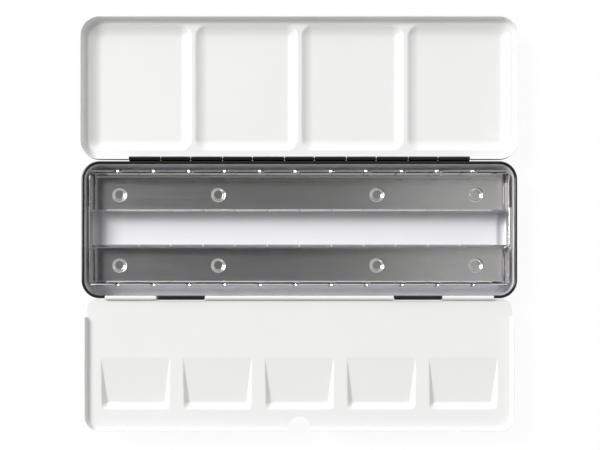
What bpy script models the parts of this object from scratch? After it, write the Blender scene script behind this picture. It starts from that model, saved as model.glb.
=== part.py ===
"""Empty watercolour box: an enamelled sheet-metal box with a mixing lid on a long piano hinge,
a mixing flap on rolled knuckles, a lift-out rack for two rows of half pans, and a thumb ring.

Frame: metres, +Z up, the box open and lying on its base. X runs along the box, -Y is the side
of the flap and +Y the side of the lid. The origin is on the table, in the middle of the whole
open box. The pieces are laid out from the middle of the body's base and then moved there.
Every sheet is modelled as its middle surface, folded from edge to edge, and given its gauge.
"""

import math

import bmesh
import bpy

# Gauge and running clearances
SHEET = 0.0003
REST_GAP = 0.0003
RUN_GAP = 0.00025
KNUCKLE_GAP = 0.0004

# Box body
BODY_LENGTH = 0.216
BODY_DEPTH = 0.068
BODY_HEIGHT = 0.015
BODY_CORNER = 0.009
BEAD = 0.0015
FLOOR_FILLET = 0.003
BASE_RECESS = 0.0025
STANDING_RIM = 0.0013
RECESS_SLOPE = 0.0023

# Flap hinge, rolled from the sheets that it joins
FLAP_KNUCKLE = 0.00105
FLAP_HINGE_STEP = 0.0002
FLAP_HINGE_INSET = 0.0118
FLAP_END_KNUCKLE = 0.0256
FLAP_BODY_KNUCKLE = 0.02375
FLAP_PIN = 0.0004

# Mixing flap
FLANGE_HEIGHT = 0.003
FLANGE_FILLET = 0.002
FLANGE_START = 0.0094
FLAP_BACK_GAP = 0.0004
FLAP_WELL_COUNT = 5
FLAP_WELL_SIDE_BORDER = 0.0077
FLAP_WELL_FRONT_BORDER = 0.01045
FLAP_WELL_RIB = 0.0065
FLAP_WELL_LENGTH = 0.0262
FLAP_WELL_FRONT_WALL = 0.0039
FLAP_WELL_SIDE_WALL = 0.003
FLAP_WELL_LIP = 0.0005
FLAP_WELL_DEPTH = 0.0024
FLAP_WELL_CORNER = 0.0025
THUMB_NOTCH = 0.0056
THUMB_NOTCH_DEPTH = 0.0073

# Lid hinge, a piano hinge of two leaves
LID_KNUCKLE = 0.001
LID_KNUCKLE_STAND_OFF = 0.00045
LID_HINGE_INSET = 0.0233
LID_HINGE_LID_KNUCKLE = 0.0148
LID_HINGE_BODY_COUNT = 6
LEAF_HEIGHT = 0.0042
LID_PIN = 0.0004

# Mixing lid
LID_SIDE_GAP = 0.0006
LID_BACK_STEP = 0.00025
LID_FILLET = 0.0025
LID_WELL_COUNT = 4
LID_WELL_SIDE_BORDER = 0.0037
LID_WELL_BACK_BORDER = 0.0055
LID_WELL_FRONT_BORDER = 0.0029
LID_WELL_RIB = 0.0023
LID_WELL_CORNER = 0.006
LID_WELL_SLOPE = 0.0057
LID_WELL_DEPTH = 0.0022

# Rack: a frame and two clip channels
RACK_END_GAP = 0.0019
RACK_SIDE_GAP = 0.0046
RACK_SHIFT = 0.00145
RAIL_LIP = 0.0004
CORNER_RELIEF = 0.0005
STRAP_HEIGHT = 0.0045
STRAP_GUSSET = 0.0013
TAB_OVERLAP = 0.00125
LANCE_COUNT = 11
LANCE_END = 0.01595
LANCE_OFFSET = -0.0018
LANCE_HALF = 0.0018
LANCE_DEPTH = 0.004
LANCE_TAB = 0.0034
LANCE_BEND = 0.001

# Clip channels, twelve spring tongues on each side
CHANNEL_END_GAP = 0.0005
PAN_ROW_WIDTH = 0.01825
TONGUE_COUNT = 12
TONGUE_END = 0.0077
SLIT = 0.0004
TONGUE_ROOT = 0.002
TONGUE_LEAN = 0.00045
TONGUE_FLARE = 0.0008
TONGUE_TIP = 0.0011
WINDOW_BAR = 0.0006
DIMPLE_END = 0.0135
DIMPLE_SPACING = 0.0501
DIMPLE_OFFSET = -0.00095
DIMPLE = 0.0038
DIMPLE_FLAT = 0.0021
DIMPLE_DEPTH = 0.0009
DIMPLE_CLEAR = 0.0004

# Thumb ring and the strap that holds it
RING_WIRE = 0.00065
RING_RADIUS = 0.0125
RING_SIDE_GAP = 0.0008
STRAP_HALF_WIDTH = 0.0045
STRAP_FOOT = 0.006
STRAP_BEND = 0.0004

# Facets of round stretches
CORNER_STEPS = 6
FILLET_STEPS = 4
CURL_STEPS = 9
KNUCKLE_STEPS = 10
WELL_CORNER_STEPS = 5
WELL_STEPS = 3
FLAP_WELL_CORNER_STEPS = 3
FLAP_WELL_STEPS = 3
TIP_STEPS = 2
DIMPLE_STEPS = 16
PIN_STEPS = 12
NOTCH_STEPS = 14
RING_STEPS = 26

# Turns of the rolled edges, in degrees
BEAD_TURN = 270
BODY_KNUCKLE_TURN = 280
FLAP_KNUCKLE_TURN = 288
LEAF_TURN = 290
TIP_TURN = 80

# What follows from the sizes above
WALL_X = BODY_LENGTH / 2 - BEAD
WALL_Y = BODY_DEPTH / 2 - BEAD
FLAP_AXIS_Y = -(WALL_Y + FLAP_HINGE_STEP + FLAP_KNUCKLE)
FLAP_AXIS_Z = BODY_HEIGHT + RUN_GAP - (FLAP_KNUCKLE - SHEET)
FLAP_CURL = FLAP_KNUCKLE - SHEET / 2
LID_CURL = LID_KNUCKLE - SHEET / 2
LID_AXIS_Y = BODY_DEPTH / 2 + LID_KNUCKLE_STAND_OFF + LID_KNUCKLE
LID_AXIS_Z = BODY_HEIGHT - BEAD - REST_GAP - SHEET / 2 + LID_CURL
FLAP_PLATE_Z = FLAP_AXIS_Z - FLAP_CURL
FLAP_HINGE_HALF = BODY_LENGTH / 2 - FLAP_HINGE_INSET
FLAP_KNUCKLE_TO = FLAP_HINGE_HALF - FLAP_END_KNUCKLE
FLAP_KNUCKLE_FROM = FLAP_KNUCKLE_TO - FLAP_BODY_KNUCKLE
LID_HINGE_HALF = BODY_LENGTH / 2 - LID_HINGE_INSET
LID_HINGE_BODY_KNUCKLE = (
    2 * LID_HINGE_HALF - (LID_HINGE_BODY_COUNT - 1) * LID_HINGE_LID_KNUCKLE
) / LID_HINGE_BODY_COUNT
PANEL_TOP = BASE_RECESS + SHEET
CHANNEL_FLOOR = PANEL_TOP + REST_GAP + DIMPLE_DEPTH + SHEET / 2
FRAME_FLOOR = CHANNEL_FLOOR - SHEET - REST_GAP
RACK_TOP = FLAP_AXIS_Z + FLAP_KNUCKLE - FLANGE_HEIGHT - REST_GAP
RACK_HALF_LENGTH = WALL_X - RACK_END_GAP
RAIL_OUT = WALL_Y - RACK_SIDE_GAP
CHANNEL_HALF_LENGTH = RACK_HALF_LENGTH - SHEET - CHANNEL_END_GAP
CHANNEL_OUT = RAIL_OUT - TONGUE_FLARE + TONGUE_LEAN - SHEET - RUN_GAP
CHANNEL_IN = CHANNEL_OUT - PAN_ROW_WIDTH
CHANNEL_MIDDLE = (CHANNEL_IN + CHANNEL_OUT) / 2
FRAME_WINDOW_HALF = CHANNEL_IN + SHEET / 2
TAB_HALF = CHANNEL_IN + TAB_OVERLAP
LANCE_PITCH = 2 * (RACK_HALF_LENGTH - LANCE_END) / (LANCE_COUNT - 1)
TONGUE_PITCH = 2 * (CHANNEL_HALF_LENGTH - TONGUE_END) / TONGUE_COUNT
DIMPLE_FAR = CHANNEL_HALF_LENGTH - DIMPLE_END
LID_CORNER = BODY_CORNER + LID_SIDE_GAP
FLAP_FAR = 2 * FLAP_AXIS_Y - (WALL_Y - RUN_GAP)
LID_NEAR = LID_AXIS_Y - LID_BACK_STEP
LID_FAR = 2 * LID_AXIS_Y - (FLAP_AXIS_Y - FLAP_KNUCKLE - RUN_GAP - SHEET)
MIDDLE_Y = (FLAP_FAR + LID_FAR) / 2
LID_HALF = BODY_LENGTH / 2 + LID_SIDE_GAP + SHEET
LID_WELL_SPAN = 2 * (LID_HALF - LID_WELL_SIDE_BORDER)
LID_WELL_WIDTH = (LID_WELL_SPAN - (LID_WELL_COUNT - 1) * LID_WELL_RIB) / LID_WELL_COUNT
LID_WELL_PITCH = LID_WELL_WIDTH + LID_WELL_RIB
LID_WELL_LENGTH = LID_FAR - LID_NEAR - LID_WELL_BACK_BORDER - LID_WELL_FRONT_BORDER
FLAP_HALF = WALL_X - REST_GAP
FLAP_WELL_SPAN = 2 * (FLAP_HALF - FLAP_WELL_SIDE_BORDER)
FLAP_WELL_WIDTH = (FLAP_WELL_SPAN - (FLAP_WELL_COUNT - 1) * FLAP_WELL_RIB) / FLAP_WELL_COUNT
FLAP_WELL_PITCH = FLAP_WELL_WIDTH + FLAP_WELL_RIB
FLAP_WELL_NEAR = FLAP_FAR + FLAP_WELL_FRONT_BORDER + FLAP_WELL_LENGTH
HINGE_SIDE_LEVEL = FLAP_AXIS_Z - FLAP_KNUCKLE - SHEET / 6

MATERIALS = {
    "black_enamel": ((0.012, 0.012, 0.013), 0.22, 0.0),
    "white_enamel": ((0.86, 0.86, 0.87), 0.18, 0.0),
    "tinplate": ((0.55, 0.55, 0.54), 0.34, 1.0),
    "steel_wire": ((0.42, 0.42, 0.43), 0.3, 1.0),
}


def clear_scene():
    for obj in list(bpy.data.objects):
        bpy.data.objects.remove(obj, do_unlink=True)


def make_collection(name):
    collection = bpy.data.collections.new(name)
    bpy.context.scene.collection.children.link(collection)
    return collection


def make_material(name):
    colour, roughness, metallic = MATERIALS[name]
    material = bpy.data.materials.get(name) or bpy.data.materials.new(name)
    material.use_nodes = True
    shader = material.node_tree.nodes["Principled BSDF"]
    shader.inputs["Base Color"].default_value = (*colour, 1)
    shader.inputs["Roughness"].default_value = roughness
    shader.inputs["Metallic"].default_value = metallic
    return material


def make_object(name, mesh, collection, material, origin=(0, 0, 0)):
    """Links a mesh that is in world coordinates as an object whose origin lies at the given point."""
    mesh.transform(mesh_shift(origin))
    obj = bpy.data.objects.new(name, mesh)
    obj.location = origin
    obj.data.materials.append(make_material(material))
    collection.objects.link(obj)
    return obj


def mesh_shift(origin):
    matrix = bpy.context.scene.cursor.matrix.to_4x4()
    matrix.identity()
    for axis in range(3):
        matrix[axis][3] = -origin[axis]
    return matrix


def make_sheet(name, bm, collection, material, origin=(0, 0, 0)):
    """Gives a folded middle surface its gauge, half to each side."""
    bmesh.ops.recalc_face_normals(bm, faces=bm.faces)
    mesh = bpy.data.meshes.new(name)
    bm.to_mesh(mesh)
    bm.free()
    mesh.shade_smooth()
    mesh.set_sharp_from_angle(angle=math.radians(35))
    obj = make_object(name, mesh, collection, material, origin)
    gauge = obj.modifiers.new("Gauge", "SOLIDIFY")
    gauge.thickness = SHEET
    gauge.offset = 0
    gauge.use_even_offset = True
    gauge.use_rim = True
    return obj


# A column is a point of an outline's spine and the way out from it: (x, y, out x, out y).
# A sheet is folded by lifting edges of a ring from column to column.


def round_columns(half_x, low_y, high_y, steps, low=(), high=(), sides=()):
    """Columns round a rectangle of corner centres, counter-clockwise from its low side,
    with a fan at each corner and further ones at the given places of its sides."""
    columns = [(x, low_y, 0, -1) for x in sorted(low)]
    columns += corner_fan(half_x, low_y, -90, steps)
    columns += [(half_x, y, 1, 0) for y in sorted(sides)]
    columns += corner_fan(half_x, high_y, 0, steps)
    columns += [(x, high_y, 0, 1) for x in sorted(high, reverse=True)]
    columns += corner_fan(-half_x, high_y, 90, steps)
    columns += [(-half_x, y, -1, 0) for y in sorted(sides, reverse=True)]
    columns += corner_fan(-half_x, low_y, 180, steps)
    return columns


def corner_fan(x, y, start, steps):
    angles = [math.radians(start + 90 * step / steps) for step in range(steps + 1)]
    return [(x, y, math.cos(angle), math.sin(angle)) for angle in angles]


def arc(centre_out, centre_z, radius, start, turn, steps):
    """Points (out, z) of an arc that leaves out its start, in degrees, clockwise if turn < 0."""
    points = []
    for step in range(1, steps + 1):
        angle = math.radians(start + turn * step / steps)
        points.append((centre_out + radius * math.cos(angle), centre_z + radius * math.sin(angle)))
    return points


def at(column, out, z):
    x, y, out_x, out_y = column
    return (x + out_x * out, y + out_y * out, z)


def lay_ring(bm, columns, outs, z, closed=True):
    """Lays the first line of a sheet: a vertex at each column, and the edges between them."""
    tag = bm.verts.layers.int.get("column") or bm.verts.layers.int.new("column")
    verts = []
    for index, (column, out) in enumerate(zip(columns, outs)):
        vert = bm.verts.new(at(column, out, z))
        vert[tag] = index
        verts.append(vert)
    ends = verts[1:] + verts[:1] if closed else verts[1:]
    return [bm.edges.new(pair) for pair in zip(verts, ends)]


def lift(bm, edges, columns, path):
    """Folds the sheet on from these edges through the points (out, z) of a path."""
    tag = bm.verts.layers.int.get("column")
    for out, z in path:
        grown = bmesh.ops.extrude_edge_only(bm, edges=edges)["geom"]
        verts = {item for item in grown if isinstance(item, bmesh.types.BMVert)}
        for vert in verts:
            vert.co = at(columns[vert[tag]], out, z)
        edges = [
            item
            for item in grown
            if isinstance(item, bmesh.types.BMEdge) and set(item.verts) <= verts
        ]
    return edges


def edges_within(bm, edges, columns, low, high, facing):
    """The edges between two places along X on the side that faces this way along Y."""
    tag = bm.verts.layers.int.get("column")
    slack = SHEET / 100
    found = []
    for edge in edges:
        ends = [columns[vert[tag]] for vert in edge.verts]
        if all(end[3] == facing and low - slack <= end[0] <= high + slack for end in ends):
            found.append(edge)
    return found


def smooth(share):
    return share * share * (3 - 2 * share)


def fill_flat(bm, edges):
    """One flat sheet inside an outline and round the holes in it."""
    bmesh.ops.triangle_fill(bm, edges=edges, use_beauty=True, normal=(0, 0, 1))


def cap(bm, edges):
    bmesh.ops.edgeloop_fill(bm, edges=edges)


def make_body(collection):
    """The body: a drawn pan on a recessed base, its rim rolled outward into a bead,
    with two knuckles of the flap's hinge rolled from its front wall."""
    spine_x = BODY_LENGTH / 2 - BODY_CORNER
    spine_y = BODY_DEPTH / 2 - BODY_CORNER
    wall = WALL_X - spine_x + SHEET / 2
    bead_end = FLAP_HINGE_HALF + KNUCKLE_GAP
    knuckle = (FLAP_KNUCKLE_FROM + KNUCKLE_GAP / 2, FLAP_KNUCKLE_TO - KNUCKLE_GAP / 2)
    marks = (bead_end, *knuckle)
    columns = round_columns(
        spine_x, -spine_y, spine_y, CORNER_STEPS, low=[side * x for side in (-1, 1) for x in marks]
    )
    base = SHEET / 2
    rim_out = wall - FLOOR_FILLET
    slope_out = rim_out - STANDING_RIM
    slope_in = slope_out - RECESS_SLOPE
    bm = bmesh.new()
    ring = lay_ring(bm, columns, [slope_in] * len(columns), base + BASE_RECESS)
    cap(bm, ring)
    slope = [
        (slope_in + RECESS_SLOPE * step / 3, base + BASE_RECESS * (1 - smooth(step / 3)))
        for step in (1, 2, 3)
    ]
    path = slope + [(rim_out, base)]
    path += arc(rim_out, base + FLOOR_FILLET, FLOOR_FILLET, -90, 90, FILLET_STEPS)
    path += [(wall, HINGE_SIDE_LEVEL)]
    ring = lift(bm, ring, columns, path)

    front = edges_within(bm, ring, columns, -bead_end, bead_end, -1)
    curl = (BEAD - SHEET) / 2
    bead_z = BODY_HEIGHT - BEAD / 2
    bead = [(wall, bead_z)] + arc(wall + curl, bead_z, curl, 180, -BEAD_TURN, CURL_STEPS)
    lift(bm, [edge for edge in ring if edge not in front], columns, bead)

    axis_out = -FLAP_AXIS_Y - spine_y
    roll = [(axis_out - FLAP_CURL, FLAP_AXIS_Z)]
    roll += arc(axis_out, FLAP_AXIS_Z, FLAP_CURL, 180, -BODY_KNUCKLE_TURN, KNUCKLE_STEPS)
    for low, high in (knuckle, (-knuckle[1], -knuckle[0])):
        lift(bm, edges_within(bm, ring, columns, low, high, -1), columns, roll)
    return make_sheet("box_body", bm, collection, "black_enamel")


def make_flap(collection, cutters):
    """The flap, open: a plate with an upturned flange on three sides, five ramped mixing wells,
    a thumb notch, and three rolled knuckles along the hinge."""
    corner = BODY_CORNER - BEAD - REST_GAP
    far = FLAP_FAR
    spine_x = FLAP_HALF - corner
    plate_out = corner - SHEET / 2 - FLANGE_FILLET
    back = -BODY_DEPTH / 2 - FLAP_BACK_GAP
    hinge_y = back - plate_out
    inner = FLAP_KNUCKLE_FROM - KNUCKLE_GAP / 2
    outer = FLAP_KNUCKLE_TO + KNUCKLE_GAP / 2
    notch_in = FLAP_AXIS_Y - FLAP_KNUCKLE - REST_GAP - hinge_y
    slant = KNUCKLE_GAP / 4
    places = {FLAP_HINGE_HALF: plate_out, outer: plate_out, outer - slant: notch_in}
    places.update({inner + slant: notch_in, inner: plate_out})
    columns = round_columns(
        spine_x,
        far + corner,
        hinge_y,
        CORNER_STEPS,
        high=[side * x for side in (-1, 1) for x in places],
        sides=[FLAP_AXIS_Y - FLANGE_START],
    )
    outs = [places.get(abs(x), plate_out) if out_y == 1 else plate_out for x, _, _, out_y in columns]
    bm = bmesh.new()
    ring = lay_ring(bm, columns, outs, FLAP_PLATE_Z)
    tag = bm.verts.layers.int.get("column")

    def hinge_side(vert):
        return columns[vert[tag]][1] > FLAP_AXIS_Y - FLANGE_START + SHEET

    flanged = [edge for edge in ring if not any(hinge_side(vert) for vert in edge.verts)]
    flange = arc(plate_out, FLAP_PLATE_Z + FLANGE_FILLET, FLANGE_FILLET, -90, 90, 3)
    flange += [(plate_out + FLANGE_FILLET, FLAP_PLATE_Z - SHEET / 2 + FLANGE_HEIGHT)]
    lift(bm, flanged, columns, flange)

    axis_out = FLAP_AXIS_Y - hinge_y
    roll = [(axis_out, FLAP_PLATE_Z)]
    roll += arc(axis_out, FLAP_AXIS_Z, FLAP_CURL, -90, FLAP_KNUCKLE_TURN, KNUCKLE_STEPS)
    for low, high in ((-FLAP_HINGE_HALF, -outer), (-inner, inner), (outer, FLAP_HINGE_HALF)):
        lift(bm, edges_within(bm, ring, columns, low, high, 1), columns, roll)

    holes = []
    for index in range(FLAP_WELL_COUNT):
        centre = (index - (FLAP_WELL_COUNT - 1) / 2) * FLAP_WELL_PITCH
        holes += add_ramped_well(bm, centre, FLAP_WELL_NEAR)
    fill_flat(bm, ring + holes)
    flap = make_sheet(
        "mixing_flap", bm, collection, "white_enamel", (0, FLAP_AXIS_Y, FLAP_AXIS_Z)
    )
    cut_thumb_notch(flap, cutters, far)
    return flap


def add_ramped_well(bm, centre, near_y):
    """A mixing well whose floor falls away from the hinge: it starts level with the plate and
    ends at a steep front wall, with side walls that widen as it deepens."""
    half = FLAP_WELL_WIDTH / 2
    corner = FLAP_WELL_CORNER
    columns = round_columns(
        half - corner, corner - FLAP_WELL_LENGTH, -corner, FLAP_WELL_CORNER_STEPS
    )
    floor_length = FLAP_WELL_LENGTH - FLAP_WELL_FRONT_WALL
    rim = lay_ring(bm, columns, [corner] * len(columns), FLAP_PLATE_Z)
    tag = bm.verts.layers.int.get("column")
    for vert in {vert for edge in rim for vert in edge.verts}:
        vert.co.x += centre
        vert.co.y += near_y
    edges = rim
    for step in range(1, FLAP_WELL_STEPS + 1):
        share = step / FLAP_WELL_STEPS
        edges = lift(bm, edges, columns, [(corner, FLAP_PLATE_Z)])
        for vert in {vert for edge in edges for vert in edge.verts}:
            x, y, _ = at(columns[vert[tag]], corner, 0)
            along = FLAP_WELL_LIP - y * (floor_length - FLAP_WELL_LIP) / FLAP_WELL_LENGTH
            fall = along / floor_length
            inset = FLAP_WELL_SIDE_WALL * fall * x / half
            vert.co.x = centre + x - inset * share
            vert.co.y = near_y + y + (-along - y) * share
            vert.co.z = FLAP_PLATE_Z - FLAP_WELL_DEPTH * fall * smooth(share)
    cap(bm, edges)
    return rim


def cut_thumb_notch(flap, cutters, far):
    """A cut with a round end through the flap's far edge and its flange."""
    overrun = FLANGE_HEIGHT
    centre_y = far + THUMB_NOTCH_DEPTH - THUMB_NOTCH
    bm = bmesh.new()
    points = [(THUMB_NOTCH, far - overrun), *notch_arc(centre_y), (-THUMB_NOTCH, far - overrun)]
    verts = [bm.verts.new((x, y, FLAP_PLATE_Z - overrun)) for x, y in points]
    face = bm.faces.new(verts)
    lifted = bmesh.ops.extrude_face_region(bm, geom=[face])["geom"]
    for vert in [item for item in lifted if isinstance(item, bmesh.types.BMVert)]:
        vert.co.z += FLANGE_HEIGHT + 2 * overrun
    bmesh.ops.recalc_face_normals(bm, faces=bm.faces)
    mesh = bpy.data.meshes.new("thumb_notch_cutter")
    bm.to_mesh(mesh)
    bm.free()
    cut_away(flap, make_cutter(mesh, cutters), "Thumb notch")


def make_cutter(mesh, cutters):
    cutter = make_object(mesh.name, mesh, cutters, "white_enamel")
    cutter.hide_render = True
    cutter.display_type = "WIRE"
    return cutter


def cut_away(obj, cutter, label):
    cut = obj.modifiers.new(label, "BOOLEAN")
    cut.operation = "DIFFERENCE"
    cut.object = cutter


def notch_arc(centre_y):
    angles = [math.pi * step / NOTCH_STEPS for step in range(NOTCH_STEPS + 1)]
    return [(THUMB_NOTCH * math.cos(a), centre_y + THUMB_NOTCH * math.sin(a)) for a in angles]


def make_lid(collection):
    """The lid, open: a shallow drawn cover with four soft wells. When shut, its wall stands
    outside the bead and its border clears the shut flap's wells."""
    plate_shut = FLAP_AXIS_Z + FLAP_KNUCKLE + FLAP_WELL_DEPTH + REST_GAP + SHEET / 2
    edge_shut = FLAP_PLATE_Z + SHEET / 2 + REST_GAP
    relief_shut = LID_AXIS_Z + LID_KNUCKLE + REST_GAP
    plate_z = 2 * LID_AXIS_Z - plate_shut
    edge_z = 2 * LID_AXIS_Z - edge_shut
    relief_z = 2 * LID_AXIS_Z - relief_shut
    near = LID_NEAR
    far = LID_FAR
    wall = LID_CORNER - SHEET / 2
    relief = LID_HINGE_HALF + KNUCKLE_GAP
    columns = round_columns(
        LID_HALF - LID_CORNER, near + LID_CORNER, far - LID_CORNER, CORNER_STEPS, low=(-relief, relief)
    )
    bm = bmesh.new()
    ring = lay_ring(bm, columns, [wall] * len(columns), relief_z)
    hinge_side = edges_within(bm, ring, columns, -relief, relief, -1)
    lift(bm, [edge for edge in ring if edge not in hinge_side], columns, [(wall, edge_z)])
    down = [(wall, plate_z + LID_FILLET)]
    down += arc(wall - LID_FILLET, plate_z + LID_FILLET, LID_FILLET, 0, -90, FILLET_STEPS)
    border = lift(bm, ring, columns, down)
    holes = []
    for index in range(LID_WELL_COUNT):
        centre = (index - (LID_WELL_COUNT - 1) / 2) * LID_WELL_PITCH
        holes += add_soft_well(bm, centre, near + LID_WELL_BACK_BORDER, plate_z)
    fill_flat(bm, border + holes)
    return make_sheet("mixing_lid", bm, collection, "white_enamel", (0, LID_AXIS_Y, LID_AXIS_Z))


def add_soft_well(bm, centre, near_y, plate_z):
    """A shallow pressed well, whose side is steepest at the rim and eases into a flat floor."""
    half = LID_WELL_WIDTH / 2 - LID_WELL_CORNER
    low = near_y + LID_WELL_CORNER
    high = near_y + LID_WELL_LENGTH - LID_WELL_CORNER
    fans = round_columns(half, low, high, WELL_CORNER_STEPS)
    columns = [(centre + x, y, out_x, out_y) for x, y, out_x, out_y in fans]
    rim = lay_ring(bm, columns, [LID_WELL_CORNER] * len(columns), plate_z)
    side = []
    for step in range(1, WELL_STEPS + 1):
        share = step / WELL_STEPS
        out = LID_WELL_CORNER - LID_WELL_SLOPE * share
        side.append((out, plate_z - LID_WELL_DEPTH * share * (2 - share)))
    cap(bm, lift(bm, rim, columns, side))
    return rim


def leaf_columns(first_is_mine):
    """Columns along the lid's hinge, and the spans of the knuckles that this leaf rolls."""
    count = 2 * LID_HINGE_BODY_COUNT - 1
    place = -LID_HINGE_HALF
    spans = []
    for index in range(count):
        is_body = index % 2 == 0
        width = LID_HINGE_BODY_KNUCKLE if is_body else LID_HINGE_LID_KNUCKLE
        if is_body == first_is_mine:
            spans.append((place + KNUCKLE_GAP / 2, place + width - KNUCKLE_GAP / 2))
        place += width
    places = [place for span in spans for place in span]
    if not first_is_mine:
        end = LID_HINGE_HALF - KNUCKLE_GAP / 2
        places = [-end, *places, end]
    return [(x, 0, 0, 1) for x in places], spans


def make_body_leaf(collection):
    """The hinge leaf on the back wall: a strip below the bead, whose tabs pass under the bead
    and roll up and over the pin."""
    columns, spans = leaf_columns(True)
    out = WALL_Y + SHEET + REST_GAP + SHEET / 2
    bend = LID_AXIS_Z - LID_CURL - KNUCKLE_GAP
    bm = bmesh.new()
    line = lay_ring(bm, columns, [out] * len(columns), bend - LEAF_HEIGHT, closed=False)
    line = lift(bm, line, columns, [(out, bend)])
    tab = [(out + KNUCKLE_GAP, LID_AXIS_Z - LID_CURL), (LID_AXIS_Y, LID_AXIS_Z - LID_CURL)]
    tab += arc(LID_AXIS_Y, LID_AXIS_Z, LID_CURL, -90, LEAF_TURN, KNUCKLE_STEPS)
    for low, high in spans:
        lift(bm, edges_within(bm, line, columns, low, high, 1), columns, tab)
    return make_sheet("lid_hinge_body_leaf", bm, collection, "black_enamel")


def make_lid_leaf(collection):
    """The hinge leaf on the lid's back wall, hanging from the pin while the lid is open."""
    columns, spans = leaf_columns(False)
    out = LID_AXIS_Y - LID_CURL
    top = LID_AXIS_Z - LID_KNUCKLE - REST_GAP
    bm = bmesh.new()
    line = lay_ring(bm, columns, [out] * len(columns), top - LEAF_HEIGHT, closed=False)
    line = lift(bm, line, columns, [(out, top)])
    tab = [(out, LID_AXIS_Z)]
    tab += arc(LID_AXIS_Y, LID_AXIS_Z, LID_CURL, 180, -LEAF_TURN, KNUCKLE_STEPS)
    for low, high in spans:
        lift(bm, edges_within(bm, line, columns, low, high, 1), columns, tab)
    return make_sheet(
        "lid_hinge_lid_leaf", bm, collection, "black_enamel", (0, LID_AXIS_Y, LID_AXIS_Z)
    )


def make_pin(name, half_length, radius, y, z, collection):
    bpy.ops.mesh.primitive_cylinder_add(
        vertices=PIN_STEPS, radius=radius, depth=2 * half_length, rotation=(0, math.pi / 2, 0)
    )
    pin = bpy.context.object
    bpy.ops.object.transform_apply(location=False, rotation=True, scale=False)
    pin.name = name
    pin.location = (0, y, z)
    pin.data.shade_smooth()
    pin.data.set_sharp_from_angle(angle=math.radians(40))
    pin.data.materials.append(make_material("steel_wire"))
    for owner in list(pin.users_collection):
        owner.objects.unlink(pin)
    collection.objects.link(pin)
    return pin


def make_frame(collection):
    """The rack's frame: a floor strip under each row, end walls joined by a strap across the
    middle with a tab that holds the rack down, and rails with a lanced tab between pans."""
    bm = bmesh.new()
    wall_x = RACK_HALF_LENGTH - SHEET / 2
    top = RACK_TOP - SHEET / 2
    for side in (-1, 1):
        add_frame_row(bm, side, wall_x, top)
    add_straps(bm, wall_x, top)
    bmesh.ops.translate(bm, verts=bm.verts, vec=(0, RACK_SHIFT, 0))
    return make_sheet("rack_frame", bm, collection, "tinplate")


def lance_places():
    last = LANCE_COUNT - 1
    return [LANCE_OFFSET + (index - last / 2) * LANCE_PITCH for index in range(LANCE_COUNT)]


def add_frame_row(bm, side, wall_x, top):
    lances = lance_places()
    rail_x = sorted([x + end * LANCE_HALF for x in lances for end in (-1, 1)])
    rail_x = [-wall_x + CORNER_RELIEF, *rail_x, wall_x - CORNER_RELIEF]
    end_y = RAIL_OUT - CORNER_RELIEF
    end_places = (FRAME_WINDOW_HALF, TAB_HALF, end_y)
    columns = [(x, 0, 0, side) for x in rail_x]
    columns += [(0, side * y, 1, 0) for y in reversed(end_places)]
    columns += [(0, side * y, -1, 0) for y in end_places]
    outs = [RAIL_OUT] * len(rail_x) + [wall_x] * (2 * len(end_places))
    outline = lay_ring(bm, columns, outs, FRAME_FLOOR)

    rail = edges_within(bm, outline, columns, -wall_x, wall_x, side)
    notch_z = top - LANCE_DEPTH
    rail = lift(bm, rail, columns, [(RAIL_OUT, notch_z)])
    ends = [rail_x[0], *[x for x in rail_x[1:-1]], rail_x[-1]]
    for low, high in zip(ends[0::2], ends[1::2]):
        run = edges_within(bm, rail, columns, low, high, side)
        lift(bm, run, columns, [(RAIL_OUT, top - RAIL_LIP), (RAIL_OUT + RAIL_LIP, top)])
    add_lances(bm, side, lances, notch_z, top)

    tag = bm.verts.layers.int.get("column")
    lean = [
        (x, y - side * STRAP_GUSSET if abs(y) == FRAME_WINDOW_HALF else y, out_x, out_y)
        for x, y, out_x, out_y in columns
    ]
    for facing in (-1, 1):
        end = [
            edge for edge in outline if all(columns[vert[tag]][2] == facing for vert in edge.verts)
        ]
        end = lift(bm, end, columns, [(wall_x, top - STRAP_HEIGHT - STRAP_GUSSET)])
        lift(bm, end, lean, [(wall_x, top - STRAP_HEIGHT), (wall_x, top)])

    holes = []
    for x in dimple_places():
        fan = [(x, side * CHANNEL_MIDDLE, *way) for way in circle_ways(DIMPLE_STEPS)]
        holes += lay_ring(bm, fan, [DIMPLE + DIMPLE_CLEAR] * len(fan), FRAME_FLOOR)
    fill_flat(bm, outline + holes)


def add_lances(bm, side, lances, notch_z, top):
    """At each notch of a rail, a triangular tab lanced from it and bent out towards the wall."""
    slack = SHEET / 100
    for x in lances:
        place = x + LANCE_HALF
        hinge = [
            edge
            for edge in bm.edges
            if all(
                abs(vert.co.x - place) < slack
                and abs(vert.co.y - side * RAIL_OUT) < slack
                and vert.co.z > notch_z - slack
                for vert in edge.verts
            )
        ]
        grown = bmesh.ops.extrude_edge_only(bm, edges=hinge)["geom"]
        for vert in [item for item in grown if isinstance(item, bmesh.types.BMVert)]:
            low = vert.co.z < notch_z + slack
            reach = LANCE_TAB / 4 if low else LANCE_TAB
            vert.co.x -= reach
            vert.co.y += side * LANCE_BEND * reach / LANCE_TAB
            vert.co.z = top - LANCE_DEPTH * 3 / 4 if low else vert.co.z


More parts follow.
